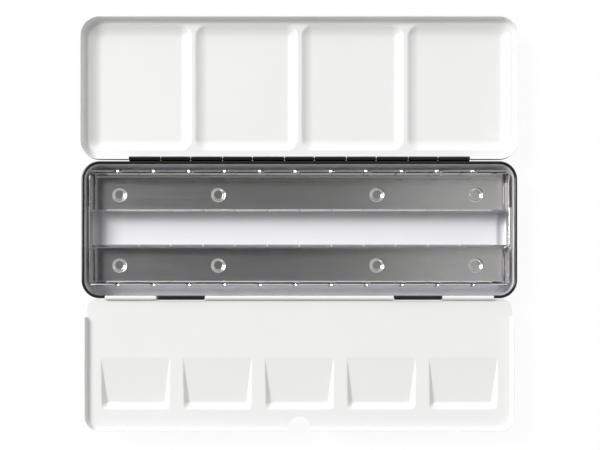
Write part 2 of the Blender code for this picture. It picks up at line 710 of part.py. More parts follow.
def add_straps(bm, wall_x, top):
    """Joins the two rows' end walls across the middle, with a tab bent out of each top edge."""
    slack = SHEET / 100
    reach = WALL_X - REST_GAP
    for facing in (-1, 1):
        x = facing * wall_x
        inner = FRAME_WINDOW_HALF - STRAP_GUSSET
        corners = [
            vert
            for vert in bm.verts
            if abs(vert.co.x - x) < slack
            and abs(abs(vert.co.y) - inner) < slack
            and vert.co.z > top - STRAP_HEIGHT - slack
        ]
        bmesh.ops.contextual_create(bm, geom=corners)
        edges = [
            edge
            for edge in bm.edges
            if all(
                abs(vert.co.x - x) < slack
                and abs(vert.co.y) < TAB_HALF + slack
                and abs(vert.co.z - top) < slack
                for vert in edge.verts
            )
        ]
        grown = bmesh.ops.extrude_edge_only(bm, edges=edges)["geom"]
        for vert in [item for item in grown if isinstance(item, bmesh.types.BMVert)]:
            vert.co.x = facing * reach


def dimple_places():
    near = DIMPLE_FAR - DIMPLE_SPACING
    return [DIMPLE_OFFSET + x for x in (-DIMPLE_FAR, -near, near, DIMPLE_FAR)]


def circle_ways(steps):
    angles = [2 * math.pi * step / steps for step in range(steps)]
    return [(math.cos(angle), math.sin(angle)) for angle in angles]


def make_channel(name, side, collection, cutters):
    """One row: a floor with four pressed dimples, and on each long side twelve spring tongues
    between slits, which lean in over the pans and curl out at the tip to guide them in. Short
    upright stretches end each side. The outer side has a window at each notch of the rail, left
    by the punch that lances the rail's tabs."""
    slits = [(index - TONGUE_COUNT / 2) * TONGUE_PITCH for index in range(TONGUE_COUNT + 1)]
    slit_x = [x + end * SLIT / 2 for x in slits for end in (-1, 1)]
    places = [-CHANNEL_HALF_LENGTH, *slit_x, CHANNEL_HALF_LENGTH]
    middle = CHANNEL_MIDDLE
    half = PAN_ROW_WIDTH / 2
    near = [(x, side * middle, 0, -1) for x in places]
    far = [(x, side * middle, 0, 1) for x in reversed(places)]
    columns = near + far
    top = RACK_TOP - SHEET / 2
    root = CHANNEL_FLOOR + TONGUE_ROOT
    bm = bmesh.new()
    outline = lay_ring(bm, columns, [half] * len(columns), CHANNEL_FLOOR)
    for facing in (-1, 1):
        span = CHANNEL_HALF_LENGTH
        wall = edges_within(bm, outline, columns, -span, span, facing)
        wall = lift(bm, wall, columns, [(half, root)])
        for index in range(0, len(places), 2):
            run = edges_within(bm, wall, columns, places[index], places[index + 1], facing)
            is_tongue = 0 < index < len(places) - 2
            lift(bm, run, columns, tongue_path(half, top) if is_tongue else [(half, top)])
    holes = []
    for x in dimple_places():
        fan = [(x, side * middle, *way) for way in circle_ways(DIMPLE_STEPS)]
        rim = lay_ring(bm, fan, [DIMPLE] * len(fan), CHANNEL_FLOOR)
        cap(bm, lift(bm, rim, fan, dimple_side()))
        holes += rim
    fill_flat(bm, outline + holes)
    bmesh.ops.translate(bm, verts=bm.verts, vec=(0, RACK_SHIFT, 0))
    channel = make_sheet(name, bm, collection, "tinplate")
    cut_windows(channel, side, cutters)
    return channel


def cut_windows(channel, side, cutters):
    low = RACK_TOP - SHEET / 2 - LANCE_DEPTH
    high = RACK_TOP - SHEET / 2 - TONGUE_TIP - WINDOW_BAR
    near, far = CHANNEL_MIDDLE, RAIL_OUT
    size = (2 * LANCE_HALF, far - near, high - low)
    bm = bmesh.new()
    for x in lance_places():
        made = bmesh.ops.create_cube(bm, size=1)["verts"]
        bmesh.ops.scale(bm, verts=made, vec=size)
        middle = (x, side * (near + far) / 2 + RACK_SHIFT, (low + high) / 2)
        bmesh.ops.translate(bm, verts=made, vec=middle)
    mesh = bpy.data.meshes.new(f"{channel.name}_window_cutters")
    bm.to_mesh(mesh)
    bm.free()
    cut_away(channel, make_cutter(mesh, cutters), "Windows")


def tongue_path(half, top):
    """A tongue leans in to its neck, and its tip curls out over a quarter of an ellipse."""
    neck = half - TONGUE_LEAN
    path = [(neck, top - TONGUE_TIP)]
    for step in range(1, TIP_STEPS + 1):
        angle = math.radians(TIP_TURN) * step / TIP_STEPS
        out = neck + TONGUE_FLARE * (1 - math.cos(angle))
        path.append((out, top - TONGUE_TIP * (1 - math.sin(angle))))
    return path


def dimple_side():
    steps = 3
    side = []
    for step in range(1, steps + 1):
        share = step / steps
        out = DIMPLE + (DIMPLE_FLAT - DIMPLE) * share
        side.append((out, CHANNEL_FLOOR - DIMPLE_DEPTH * smooth(share)))
    return side


def ring_axis_z():
    return BASE_RECESS - REST_GAP - RING_WIRE


def make_thumb_ring(collection):
    """The thumb ring, folded flat: a wire bent to a circle that a straight bar cuts short."""
    z = ring_axis_z()
    bar = STRAP_HALF_WIDTH + RING_SIDE_GAP + RING_WIRE
    chord = math.sqrt(RING_RADIUS**2 - bar**2)
    start = math.pi / 2 + math.atan2(bar, chord)
    turn = 2 * math.pi - 2 * math.atan2(bar, chord)
    points = []
    for step in range(RING_STEPS + 1):
        angle = start + turn * step / RING_STEPS
        points.append((RING_RADIUS * math.cos(angle), RING_RADIUS * math.sin(angle) - chord))
    curve = bpy.data.curves.new("thumb_ring", "CURVE")
    curve.dimensions = "3D"
    curve.bevel_depth = RING_WIRE
    curve.bevel_resolution = 2
    spline = curve.splines.new("POLY")
    spline.points.add(len(points) - 1)
    spline.use_cyclic_u = True
    for point, (x, y) in zip(spline.points, points):
        point.co = (x, y, 0, 1)
    ring = bpy.data.objects.new("thumb_ring", curve)
    ring.location = (0, 0, z)
    curve.materials.append(make_material("steel_wire"))
    collection.objects.link(ring)
    return ring


def make_ring_strap(collection):
    """The strap on the base that the ring's bar turns in: two feet and a half-round saddle."""
    z = ring_axis_z()
    foot_z = BASE_RECESS - REST_GAP - SHEET / 2
    saddle = RING_WIRE + REST_GAP + SHEET / 2
    columns = [(x, 0, 0, 1) for x in (-STRAP_HALF_WIDTH, STRAP_HALF_WIDTH)]
    bm = bmesh.new()
    line = lay_ring(bm, columns, [-STRAP_FOOT] * len(columns), foot_z, closed=False)
    path = [(-saddle - STRAP_BEND, foot_z), (-saddle, z)]
    path += arc(0, z, saddle, 180, 180, KNUCKLE_STEPS)
    path += [(saddle + STRAP_BEND, foot_z), (STRAP_FOOT, foot_z)]
    lift(bm, line, columns, path)
    return make_sheet("thumb_ring_strap", bm, collection, "steel_wire")


def main():
    clear_scene()
    parts = make_collection("watercolour_box")
    cutters = make_collection("cutters")
    make_body(parts)
    make_flap(parts, cutters)
    make_lid(parts)
    make_body_leaf(parts)
    make_lid_leaf(parts)
    lid_pin_half = LID_HINGE_HALF - KNUCKLE_GAP / 2
    make_pin("lid_hinge_pin", lid_pin_half, LID_PIN, LID_AXIS_Y, LID_AXIS_Z, parts)
    make_pin("flap_hinge_pin", FLAP_HINGE_HALF, FLAP_PIN, FLAP_AXIS_Y, FLAP_AXIS_Z, parts)
    make_frame(parts)
    make_channel("pan_channel_back", 1, parts, cutters)
    make_channel("pan_channel_front", -1, parts, cutters)
    make_thumb_ring(parts)
    make_ring_strap(parts)
    for obj in [*parts.objects, *cutters.objects]:
        obj.location.y -= MIDDLE_Y


main()
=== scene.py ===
"""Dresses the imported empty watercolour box: enamelled tin body, mixing lid and flap, hinges,
lift-out rack of bright tinplate and the thumb ring under the base.

Run as a script. It is laid out as an add-on, so every piece has its own operator and its sizes
and colours are in the settings. Lengths are in metres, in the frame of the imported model.
"""

import math
from types import SimpleNamespace

import bmesh
import bpy
import numpy as np
from bpy.props import FloatProperty, FloatVectorProperty, IntProperty, PointerProperty
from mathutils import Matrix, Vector


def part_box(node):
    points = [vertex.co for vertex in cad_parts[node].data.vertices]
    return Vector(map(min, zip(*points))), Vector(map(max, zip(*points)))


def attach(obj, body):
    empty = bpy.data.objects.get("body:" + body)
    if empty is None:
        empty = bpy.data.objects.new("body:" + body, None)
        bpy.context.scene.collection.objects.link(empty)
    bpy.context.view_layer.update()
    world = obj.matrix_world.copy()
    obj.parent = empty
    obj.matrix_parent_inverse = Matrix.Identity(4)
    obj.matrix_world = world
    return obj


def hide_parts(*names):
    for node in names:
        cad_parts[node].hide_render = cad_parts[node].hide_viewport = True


bl_info = {
    "name": "Watercolour Box",
    "version": (1, 0, 0),
    "blender": (4, 5, 0),
    "location": "3D View > Sidebar > Paint Box",
    "description": "Enamelled tin watercolour box with mixing lid, flap and half-pan rack",
    "category": "Add Mesh",
}

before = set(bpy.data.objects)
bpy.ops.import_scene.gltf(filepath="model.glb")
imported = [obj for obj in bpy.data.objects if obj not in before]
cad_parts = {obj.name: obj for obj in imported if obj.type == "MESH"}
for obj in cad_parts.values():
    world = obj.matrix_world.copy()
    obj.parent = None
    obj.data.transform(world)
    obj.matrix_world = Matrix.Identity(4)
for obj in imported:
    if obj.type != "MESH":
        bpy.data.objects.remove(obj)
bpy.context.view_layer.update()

# The two pins carry the hinges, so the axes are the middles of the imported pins.
LID_AXIS = [sum(pair) / 2 for pair in zip(*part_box("lid_hinge_pin"))]
FLAP_AXIS = [sum(pair) / 2 for pair in zip(*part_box("flap_hinge_pin"))]
LID_HINGE_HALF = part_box("lid_hinge_pin")[1].x
FLAP_HINGE_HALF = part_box("flap_hinge_pin")[1].x
BODY_HALF_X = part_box("box_body")[1].x
BODY_BACK_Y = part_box("box_body")[1].y
LID_FAR_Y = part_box("mixing_lid")[1].y
FLAP_FAR_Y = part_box("mixing_flap")[0].y

# Points closer than this are sewn together.
TINY = 2e-6

# About how long the sides of faces are.
FLAT_STEP = 0.004
PLATE_STEP = 0.003
LID_CORNER_STEP = 0.0006
FLAP_CORNER_STEP = 0.0005
WELL_STEP = 0.00035
SLOPE_STEP = 0.0003
HOLE_STEP = 0.0004
DIMPLE_STEP = 0.0002
# How far the fine faces round a dimple go on past it.
DIMPLE_RIM = 0.0004

# A flap's well starts with a bend this long, and its side slopes are never narrower than this.
START_BEND = 0.0012
NARROWEST_SIDE = 0.0004
# The share of a slope that is rounded at each end: a well's, its start's and a dimple's.
WELL_EASE = 0.22
START_EASE = 0.45
DIMPLE_EASE = 0.25
# The share of its height that a side flange has where it starts.
FLANGE_LOW = 0.45
# Radius of the fold between an end wall's strap and its tab.
TAB_BEND = 0.0002


def linear(code):
    """An sRGB hex colour as linear red, green, blue and an alpha of 1. Each channel c becomes
    c / 12.92 below 0.04045, and ((c + 0.055) / 1.055) to the power 2.4 above it."""
    channels = [int(code[i : i + 2], 16) / 255 for i in (1, 3, 5)]
    return (
        *[c / 12.92 if c <= 0.04045 else ((c + 0.055) / 1.055) ** 2.4 for c in channels],
        1.0,
    )


def length(name, value, text):
    return FloatProperty(name=name, default=value, description=text, unit="LENGTH", precision=5)


def colour(name, code, text):
    return FloatVectorProperty(
        name=name, default=linear(code), size=4, subtype="COLOR", min=0, max=1, description=text
    )


class SheetSizes(bpy.types.PropertyGroup):
    """Gauge of the sheet and the clearances between pieces."""

    gauge: length("Gauge", 0.0003, "Thickness of every sheet")
    rest_gap: length("Rest gap", 0.0003, "Gap where one piece rests on another")
    run_gap: length("Running gap", 0.00025, "Gap beside a piece that swings past")
    knuckle_gap: length("Knuckle gap", 0.0004, "Gap between neighbouring knuckles")
    cut_edge: length("Cut edge", 0.00007, "How far the enamel rounds a cut edge")


class BodySizes(bpy.types.PropertyGroup):
    """Drawn body with its rolled bead."""

    depth: length("Depth", 0.068, "Front to back over the beads")
    height: length("Height", 0.015, "Height of the bead above the table")
    corner: length("Corner", 0.009, "Radius of the corners in plan")
    bead: length("Bead", 0.0015, "Thickness of the rolled bead")
    fillet: length("Floor fillet", 0.003, "Radius between wall and base")
    recess: length("Base recess", 0.0025, "How far the base panel is set up")
    standing_rim: length("Standing rim", 0.0013, "Width of the rim that the box stands on")
    recess_slope: length("Recess slope", 0.0023, "Width of the slope up to the panel")


class LidSizes(bpy.types.PropertyGroup):
    """Mixing lid with four soft wells."""

    side_gap: length("Side gap", 0.0006, "From the bead to the lid's wall when it is shut")
    back_step: length("Back step", 0.00025, "From the hinge's axis to the back wall")
    fillet: length("Fillet", 0.0025, "Radius between wall and border")
    wells: IntProperty(name="Wells", default=4, min=1, description="Number of mixing wells")
    side_border: length("Side border", 0.0037, "From the lid's end to the first well")
    back_border: length("Back border", 0.0055, "From the back wall to the wells")
    front_border: length("Front border", 0.0029, "From the wells to the far wall")
    rib: length("Rib", 0.0023, "Width of the ridge between wells")
    well_corner: length("Well corner", 0.0057, "Radius of a well's corners")
    well_rim: length("Well rim", 0.0005, "Half the width of the bend at a well's rim")
    well_slope: length("Well slope", 0.0057, "Width of a well's soft side")
    well_depth: length("Well depth", 0.0022, "Depth of a well")


class FlapSizes(bpy.types.PropertyGroup):
    """Mixing flap with five ramped wells and a thumb notch."""

    flange: length("Flange", 0.003, "Height of the upturned edge")
    flange_fillet: length("Flange fillet", 0.002, "Radius between plate and flange")
    flange_start: length("Flange start", 0.0094, "From the hinge's axis to the side flanges")
    flange_ramp: length("Flange ramp", 0.0008, "Length of the slanted start of a side flange")
    free_edge: length("Free edge", 0.0014, "Width of the plate beside its hinge")
    back_gap: length("Back gap", 0.0004, "From the bead to the plate")
    wells: IntProperty(name="Wells", default=5, min=1, description="Number of mixing wells")
    side_border: length("Side border", 0.0077, "From the flap's end to the first well")
    front_border: length("Front border", 0.01045, "From the wells to the far edge")
    rib: length("Rib", 0.0065, "Width between neighbouring wells")
    well_length: length("Well length", 0.0262, "Length of a well, away from the hinge")
    front_wall: length("Front wall", 0.0039, "Width of a well's front slope")
    side_wall: length("Side wall", 0.003, "Width of a well's side slope at its deep end")
    well_depth: length("Well depth", 0.0024, "Depth of a well at its deep end")
    notch: length("Thumb notch", 0.0056, "Radius of the thumb notch")
    notch_depth: length("Notch depth", 0.0073, "How far the thumb notch reaches in")


class HingeSizes(bpy.types.PropertyGroup):
    """Rolled knuckles of the flap and the piano hinge of the lid."""

    flap_knuckle: length("Flap knuckle", 0.00105, "Radius of the flap's knuckles")
    end_knuckle: length("End knuckle", 0.0256, "Length of the flap's end knuckles")
    body_knuckle: length("Body knuckle", 0.02375, "Length of the body's knuckles")
    lid_knuckle: length("Lid knuckle", 0.001, "Radius of the piano hinge's knuckles")
    lid_narrow: length("Lid leaf knuckle", 0.0148, "Length of a knuckle of the lid's leaf")
    lid_wide_count: IntProperty(
        name="Body leaf knuckles", default=6, min=2, description="Knuckles of the body's leaf"
    )
    leaf: length("Leaf", 0.0042, "Height of the leaves' strips")


class RackSizes(bpy.types.PropertyGroup):
    """Frame and clip channels of the rack."""

    end_gap: length("End gap", 0.00225, "From the box's end wall to the rack")
    end_lean: length("End lean", 0.0004, "How far the rack's end walls lean out")
    side_gap: length("Side gap", 0.0046, "From the middle position to the box's front wall")
    shift: length("Shift", 0.00145, "How far the rack sits towards the lid")
    lip: length("Rail lip", 0.0004, "Half the height of a rail's curled lip")
    lip_reach: length("Lip reach", 0.0007, "How far a rail's lip curls out")
    relief: length("Corner relief", 0.0005, "Gap between end wall and rail")
    strap: length("Strap", 0.0045, "Height of the strap across the middle")
    gusset: length("Gusset", 0.0013, "Slant under the strap's ends")
    tab_overlap: length("Tab overlap", 0.00125, "How far the end tab passes the channel walls")
    lances: IntProperty(name="Lances", default=11, min=1, description="Lanced tabs on a rail")
    lance_end: length("Lance end", 0.0156, "From the rack's end to the last lance")
    lance_offset: length("Lance offset", -0.0018, "How far the lances sit off the middle")
    lance_half: length("Lance half width", 0.0018, "Half the width of a lance's notch")
    lance_depth: length("Lance depth", 0.004, "Depth of a lance's notch")
    lance_tab: length("Lance tab", 0.0025, "Length of a lance's tab along the rail")
    lance_neck: length("Lance neck", 0.0005, "Height of the neck that a lance hangs on")
    lance_drop: length("Lance drop", 0.001, "How far a lance falls along the rail")
    lance_reach: length("Lance reach", 0.0017, "How far a lance's tip reaches out")
    lance_tip: length("Lance tip", 0.001, "How far a lance's tip passes its inner edge")
    lance_fall: length("Lance fall", 0.0007, "How far a lance's tip is below its inner edge")
    window_bar: length("Window bar", 0.0006, "Height of the bar above a window")
    channel_gap: length("Channel gap", 0.0005, "From the end wall to a clip channel")
    row_width: length("Row width", 0.01825, "Width of a row between its walls")
    tongues: IntProperty(name="Tongues", default=12, min=1, description="Tongues on a side")
    tongue_end: length("Tongue end", 0.00735, "From a channel's end to its first slit")
    slit: length("Slit", 0.0004, "Width of the slits between tongues")
    tongue_root: length("Tongue root", 0.002, "Height of a slit's end above the floor")
    lean: length("Lean", 0.00045, "How far a tongue leans over the pans")
    flare: length("Flare", 0.0008, "How far a tongue's tip flares back")
    tip: length("Tip", 0.0011, "Height of a tongue's flared tip")
    dimple_end: length("Dimple end", 0.01315, "From a channel's end to the outer dimple")
    dimple_spacing: length("Dimple spacing", 0.0501, "From the outer to the inner dimple")
    dimple_offset: length("Dimple offset", -0.00095, "How far dimples sit off the middle")
    dimple: length("Dimple", 0.0038, "Radius of a dimple")
    dimple_flat: length("Dimple flat", 0.0021, "Radius of a dimple's flat foot")
    dimple_depth: length("Dimple depth", 0.0009, "Depth of a dimple")
    hole_gap: length("Hole gap", 0.0004, "From a dimple's rim to the hole under it")
    bend: length("Bend", 0.0005, "Radius of the folds")


class RingSizes(bpy.types.PropertyGroup):
    """Thumb ring and its strap."""

    wire: length("Wire", 0.00065, "Radius of the wire")
    radius: length("Radius", 0.0125, "Radius of the ring's middle line")
    side_gap: length("Side gap", 0.0008, "From the strap to the ring's wire")
    strap_half: length("Strap half width", 0.0045, "Half the width of the strap")
    foot: length("Foot", 0.006, "From the bar to the end of a foot")
    strap_bend: length("Strap bend", 0.0004, "Width of the bend from foot to saddle")


class FinishColours(bpy.types.PropertyGroup):
    """Colours of the finishes."""

    palette_white: colour("Palette white", "#f3f3f2", "Enamel of the lid and the flap")
    inside_white: colour("Inside white", "#f2f1f6", "Enamel inside the body")
    outside_black: colour("Outside black", "#161718", "Enamel outside the box")
    tin: colour("Tin", "#ecebea", "Tinplate of the rack")
    wire: colour("Wire", "#b4b3b0", "Drawn steel of pins and ring")
    floor: colour("Floor", "#b8b8b8", "Paper that the box lies on")


class BoxSettings(bpy.types.PropertyGroup):
    """All sizes and colours of the watercolour box."""

    sheet: PointerProperty(type=SheetSizes)
    body: PointerProperty(type=BodySizes)
    lid: PointerProperty(type=LidSizes)
    flap: PointerProperty(type=FlapSizes)
    hinge: PointerProperty(type=HingeSizes)
    rack: PointerProperty(type=RackSizes)
    ring: PointerProperty(type=RingSizes)
    colours: PointerProperty(type=FinishColours)


def settings():
    return bpy.context.scene.watercolour_box


# Surfaces. A grid is an array of points with rows, columns and x, y, z. Its faces look up or
# inwards when rows run outwards and columns run counter-clockwise.


def lines(low, high, step, marks=(), fine=()):
    """Places from low to high at about the given step, closer in the (low, high, step) stretches
    of fine, always with the marks. A place within a fiftieth of a step of a mark is left out."""

    def even(start, end, size):
        return np.linspace(start, end, max(2, round((end - start) / size) + 1))

    stretches = [even(*stretch) for stretch in fine]
    ends = [stretch[end] for stretch in stretches for end in (0, -1)]
    fixed = np.unique(np.round([low, high, *marks, *ends], 8))
    loose = np.concatenate([even(low, high, step), *stretches])
    inside = (loose > low) & (loose < high)
    for stretch in stretches:
        beside = (loose < stretch[0]) | (loose > stretch[-1])
        inside &= beside | (np.abs(loose[:, None] - stretch).min(axis=1) < TINY)
    loose = loose[inside]
    gap = np.abs(loose[:, None] - fixed).min(axis=1)
    return np.unique(np.round(np.concatenate([fixed, loose[gap > step / 50]]), 8))


def both_ends(half, width, step):
    """Fine stretches of the given width at both ends of a run from -half to half."""
    return [(-half, width - half, step), (half - width, half, step)]


def between(xs, low, high):
    """Those of the places that lie from low to high."""
    return xs[(xs > low - TINY) & (xs < high + TINY)]


def join(*parts):
    """One profile of several parts, in order."""
    return np.concatenate(parts)


def grid_of(x, y, z):
    """A grid from its coordinates, each given for every point, every row, every column or all."""
    return np.stack(np.broadcast_arrays(x, y, z), axis=-1)


def arc(out, z, radius, start, turn, steps):
    """Points of an arc about (out, z): the start angle plus turn times step / steps, in degrees,
    with the radius times its cosine outwards and its sine upwards. The start is left out."""
    angles = np.radians(start + turn * np.arange(1, steps + 1) / steps)
    return np.stack([out + radius * np.cos(angles), z + radius * np.sin(angles)], axis=1)


def curled_edge(out, z, reach, height):
    """An edge that curls out over most of a quarter of an ellipse, through 84 degrees: out plus
    reach (1 - cos), and z minus height (1 - sin)."""
    turn = np.radians(np.linspace(0, 84, 7))
    return np.stack([out + reach * (1 - np.cos(turn)), z - height * (1 - np.sin(turn))], axis=1)


def ramp(share, ease):
    """A slope from 0 to 1 that is straight in its middle and rounded by a parabola over the
    given share at each end."""
    t = np.clip(share, 0, 1)
    low = t * t / (2 * ease * (1 - ease))
    middle = (t - ease / 2) / (1 - ease)
    high = 1 - (1 - t) ** 2 / (2 * ease * (1 - ease))
    return np.where(t < ease, low, np.where(t > 1 - ease, high, middle))


class RoundedPlate:
    """A rectangle with round corners, as grids x and y in plan. Inside each corner's square,
    (a, b) from 0 to 1 goes to (a sqrt(1 - b b / 2), b sqrt(1 - a a / 2)), which presses the square
    onto the quarter disc. Its outline has points and outward ways, counter-clockwise."""

    def __init__(self, xs, ys, radius):
        plain = np.stack(np.meshgrid(xs, ys, indexing="ij"), axis=-1)
        middle = np.array([(xs[0] + xs[-1]) / 2, (ys[0] + ys[-1]) / 2])
        core = np.array([(xs[-1] - xs[0]) / 2, (ys[-1] - ys[0]) / 2]) - radius
        away = plain - middle
        share = np.clip((np.abs(away) - core) / radius, 0, 1)
        a, b = share[..., 0], share[..., 1]
        pressed = np.stack([a * np.sqrt(1 - b * b / 2), b * np.sqrt(1 - a * a / 2)], axis=-1)
        corner = ((a > 0) & (b > 0))[..., None]
        plan = np.where(corner, middle + np.sign(away) * (core + radius * pressed), plain)
        self.x, self.y = plan[..., 0], plan[..., 1]
        index = np.arange(a.size).reshape(a.shape)
        loop = join(index[:, 0], index[-1, 1:], index[-2::-1, -1], index[0, -2:0:-1])
        self.points = plan.reshape(-1, 2)[loop]
        reach = np.maximum(np.abs(self.points - middle) - core, 0)
        reach = reach * np.sign(self.points - middle)
        self.ways = reach / np.linalg.norm(reach, axis=1, keepdims=True)

    def side(self, facing, low, high):
        """The outline's places from low to high along X, on its back side where facing is 1 and
        on its front side where it is -1."""
        x = self.points[:, 0]
        on_side = self.ways[:, 1] * facing > 0.999
        return np.flatnonzero(on_side & (x > low - TINY) & (x < high + TINY))

    def all_but(self, places):
        """The outline's places from the last of these round to the first of them."""
        count = len(self.points)
        return (places[-1] + np.arange(count - (places[-1] - places[0]) + 1)) % count

    def wall(self, path, places=slice(None), extents=1.0):
        """A profile carried along these places of the outline."""
        return carry(self.points[places], self.ways[places], path, extents)


def carry(points, ways, path, extents=1.0):
    """Carries a profile along an outline: each point of the outline moves along its outward way
    by the profile's first value and up to its second. Where its extent is below 1, a place of
    the outline gets only that share of the profile's length."""
    path = np.asarray(path, float)
    run = join([0], np.cumsum(np.linalg.norm(np.diff(path, axis=0), axis=1)))
    share = run[:, None] * np.broadcast_to(extents, len(points))
    plan = points + ways * np.interp(share, run, path[:, 0])[..., None]
    return grid_of(plan[..., 0], plan[..., 1], np.interp(share, run, path[:, 1]))


def straight(xs, path, y=0.0, facing=1):
    """A profile carried straight along X. Its first value is measured from y, towards +Y where
    facing is 1 and towards -Y where it is -1."""
    xs = np.sort(xs)[::-facing]
    points = np.stack([xs, np.full(len(xs), y)], axis=1)
    return carry(points, np.tile([0.0, float(facing)], (len(xs), 1)), path)


def link(name, data):
    """Puts a new object into the scene."""
    obj = bpy.data.objects.new(name, data)
    bpy.context.scene.collection.objects.link(obj)
    return obj


def sheet_of_grids(name, grids, coats):
    """One mesh of several grids, which are sewn together where their points meet. A grid is
    points alone, or (points, whether its last column joins its first, material index, and
    sometimes a table of the faces that it keeps)."""
    verts, faces, slots, start = [], [], [], 0
    for grid in grids:
        points, closed, slot, *kept = grid if isinstance(grid, tuple) else (grid, False, 0)
        rows, cols = points.shape[:2]
        row = np.arange(rows - 1)[:, None] * cols
        col = np.arange(cols if closed else cols - 1)[None, :]
        after = (col + 1) % cols
        corners = [row + col, row + cols + col, row + cols + after, row + after]
        quads = np.stack(np.broadcast_arrays(*corners), axis=-1).reshape(-1, 4) + start
        if kept:
            quads = quads[kept[0].reshape(-1)]
        verts.append(points.reshape(-1, 3))
        faces.append(quads)
        slots.append(np.full(len(quads), slot, np.int32))
        start += rows * cols
    mesh = bpy.data.meshes.new(name)
    mesh.from_pydata(join(*verts), [], join(*faces))
    mesh.polygons.foreach_set("material_index", join(*slots))
    bm = bmesh.new()
    bm.from_mesh(mesh)
    bmesh.ops.remove_doubles(bm, verts=bm.verts, dist=TINY)
    bmesh.ops.dissolve_degenerate(bm, edges=bm.edges, dist=TINY)
    bm.to_mesh(mesh)
    bm.free()
    for coat in coats:
        mesh.materials.append(coat)
    return link(name, mesh)


def face_out(obj):
    """Turns a closed piece's faces outwards, and an open one's all to one side."""
    bm = bmesh.new()
    bm.from_mesh(obj.data)
    bmesh.ops.recalc_face_normals(bm, faces=bm.faces)
    bm.to_mesh(obj.data)
    bm.free()


def set_all(thing, **values):
    for key, value in values.items():
        setattr(thing, key, value)


def modify(obj, name, kind, **values):
    """Adds a modifier with these settings, and keeps only the mesh that it makes."""
    set_all(obj.modifiers.new(name, kind), **values)
    bpy.context.view_layer.update()
    graph = bpy.context.evaluated_depsgraph_get()
    mesh = bpy.data.meshes.new_from_object(
        obj.evaluated_get(graph), preserve_all_data_layers=True, depsgraph=graph
    )
    obj.modifiers.clear()
    old = obj.data
    obj.data = mesh
    bpy.data.meshes.remove(old)
    mesh.name = obj.name


def soften(obj, width=0.0):
    """Smooth shading up to 52 degrees, with edges past 50 degrees rounded where a width is
    given, and large flats kept flat."""
    obj.data.shade_smooth()
    if width:
        limit = {"limit_method": "ANGLE", "angle_limit": math.radians(50)}
        modify(obj, "Rounded edge", "BEVEL", width=width, segments=2, **limit)
    obj.data.set_sharp_from_angle(angle=math.radians(52))
    modify(obj, "Flat faces lead", "WEIGHTED_NORMAL", mode="FACE_AREA", keep_sharp=True)


def place_piece(obj, body, node):
    """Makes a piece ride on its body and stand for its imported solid."""
    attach(obj, body)
    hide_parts(node)


def make_sheet(name, node, body, slot, coats, grids, far_coat=0, cut_coat=0, cut=None, trim=None):
    """A piece of sheet: grids that are sewn together, cut while thin, given their gauge, half to
    each side, trimmed when thick and softened. The far side and the cut take the coat that is so
    many places further in the list of coats."""
    sheet = settings().sheet
    obj = sheet_of_grids(name, grids, coats)
    if cut:
        cut(obj)
    sides = {"material_offset": far_coat, "material_offset_rim": cut_coat}
    even = {"offset": 0, "use_even_offset": True}
    modify(obj, "Gauge", "SOLIDIFY", thickness=sheet.gauge, **even, **sides)
    if trim:
        trim(obj)
    soften(obj, sheet.cut_edge)
    place_piece(obj, body, node)


def make_wire(name, node, body, points):
    """A piece of steel wire, from a grid that is closed round the wire."""
    obj = sheet_of_grids(name, [(points, True, 0)], [wire_steel()])
    face_out(obj)
    soften(obj)
    place_piece(obj, body, node)


# Finishes


NOISE = "ShaderNodeTexNoise"
RANGE = "ShaderNodeMapRange"
MATH = "ShaderNodeMath"


def add_node(tree, kind, values=None, links=None, **settings_of_node):
    """Adds one node with its own settings, the values of its inputs and the links into them."""
    node = tree.nodes.new(kind)
    set_all(node, **settings_of_node)
    for key, value in (values or {}).items():
        node.inputs[key].default_value = value
    for key, source in (links or {}).items():
        tree.links.new(source, node.inputs[key])
    return node


def new_finish(name):
    """A new material, its nodes and its shader, or the material alone where it is there."""
    material = bpy.data.materials.get(name)
    if material:
        return material, None, None
    material = bpy.data.materials.new(name)
    material.use_nodes = True
    tree = material.node_tree
    return material, tree, tree.nodes["Principled BSDF"]


def vary(tree, shader, rgba, clouds, share, rub, roughness):
    """The colour falls to a share of itself where the clouds are thin, and the roughness runs
    between its two values with the rub. Both are outputs from 0 to 1."""
    dark = (*[channel * share for channel in rgba[:3]], 1)
    ends = {6: dark, 7: tuple(rgba)}
    tint = add_node(tree, "ShaderNodeMix", ends, {0: clouds}, data_type="RGBA")
    ends = {"To Min": roughness[0], "To Max": roughness[1]}
    gloss = add_node(tree, RANGE, ends, {"Value": rub})
    tree.links.new(tint.outputs[2], shader.inputs["Base Color"])
    tree.links.new(gloss.outputs["Result"], shader.inputs["Roughness"])
    return gloss


def stoved_enamel(name, rgba, roughness, peel):
    """Stoving enamel, sprayed and baked on tinplate. The eye sees one even colour under a wet
    gloss, whose reflections ripple slightly: orange peel about 1.5 mm across, on a sheet that is
    itself flat to a few hundredths over 20 mm. The coat is a touch thinner and darker in places
    about 30 mm across, and rubbed in places about 7 mm across."""
    material, tree, shader = new_finish(name)
    if tree is None:
        return material
    place = {"Vector": add_node(tree, "ShaderNodeTexCoord").outputs["Object"]}
    cloud, rub, skin, wave = (
        add_node(tree, NOISE, {"Scale": 1 / size, "Detail": detail}, place).outputs["Fac"]
        for size, detail in ((0.03, 2.0), (0.007, 4.0), (0.0015, 1.0), (0.02, 0.0))
    )
    vary(tree, shader, rgba, cloud, 0.965, rub, (roughness * 0.8, roughness * 1.25))
    flow = None
    for height, strength, distance in ((wave, 0.35, 0.00025), (skin, peel, 0.00004)):
        links = {"Height": height, "Normal": flow} if flow else {"Height": height}
        bump = add_node(tree, "ShaderNodeBump", {"Strength": strength, "Distance": distance}, links)
        flow = bump.outputs["Normal"]
    tree.links.new(flow, shader.inputs["Normal"])
    shader.inputs["IOR"].default_value = 1.52
    return material


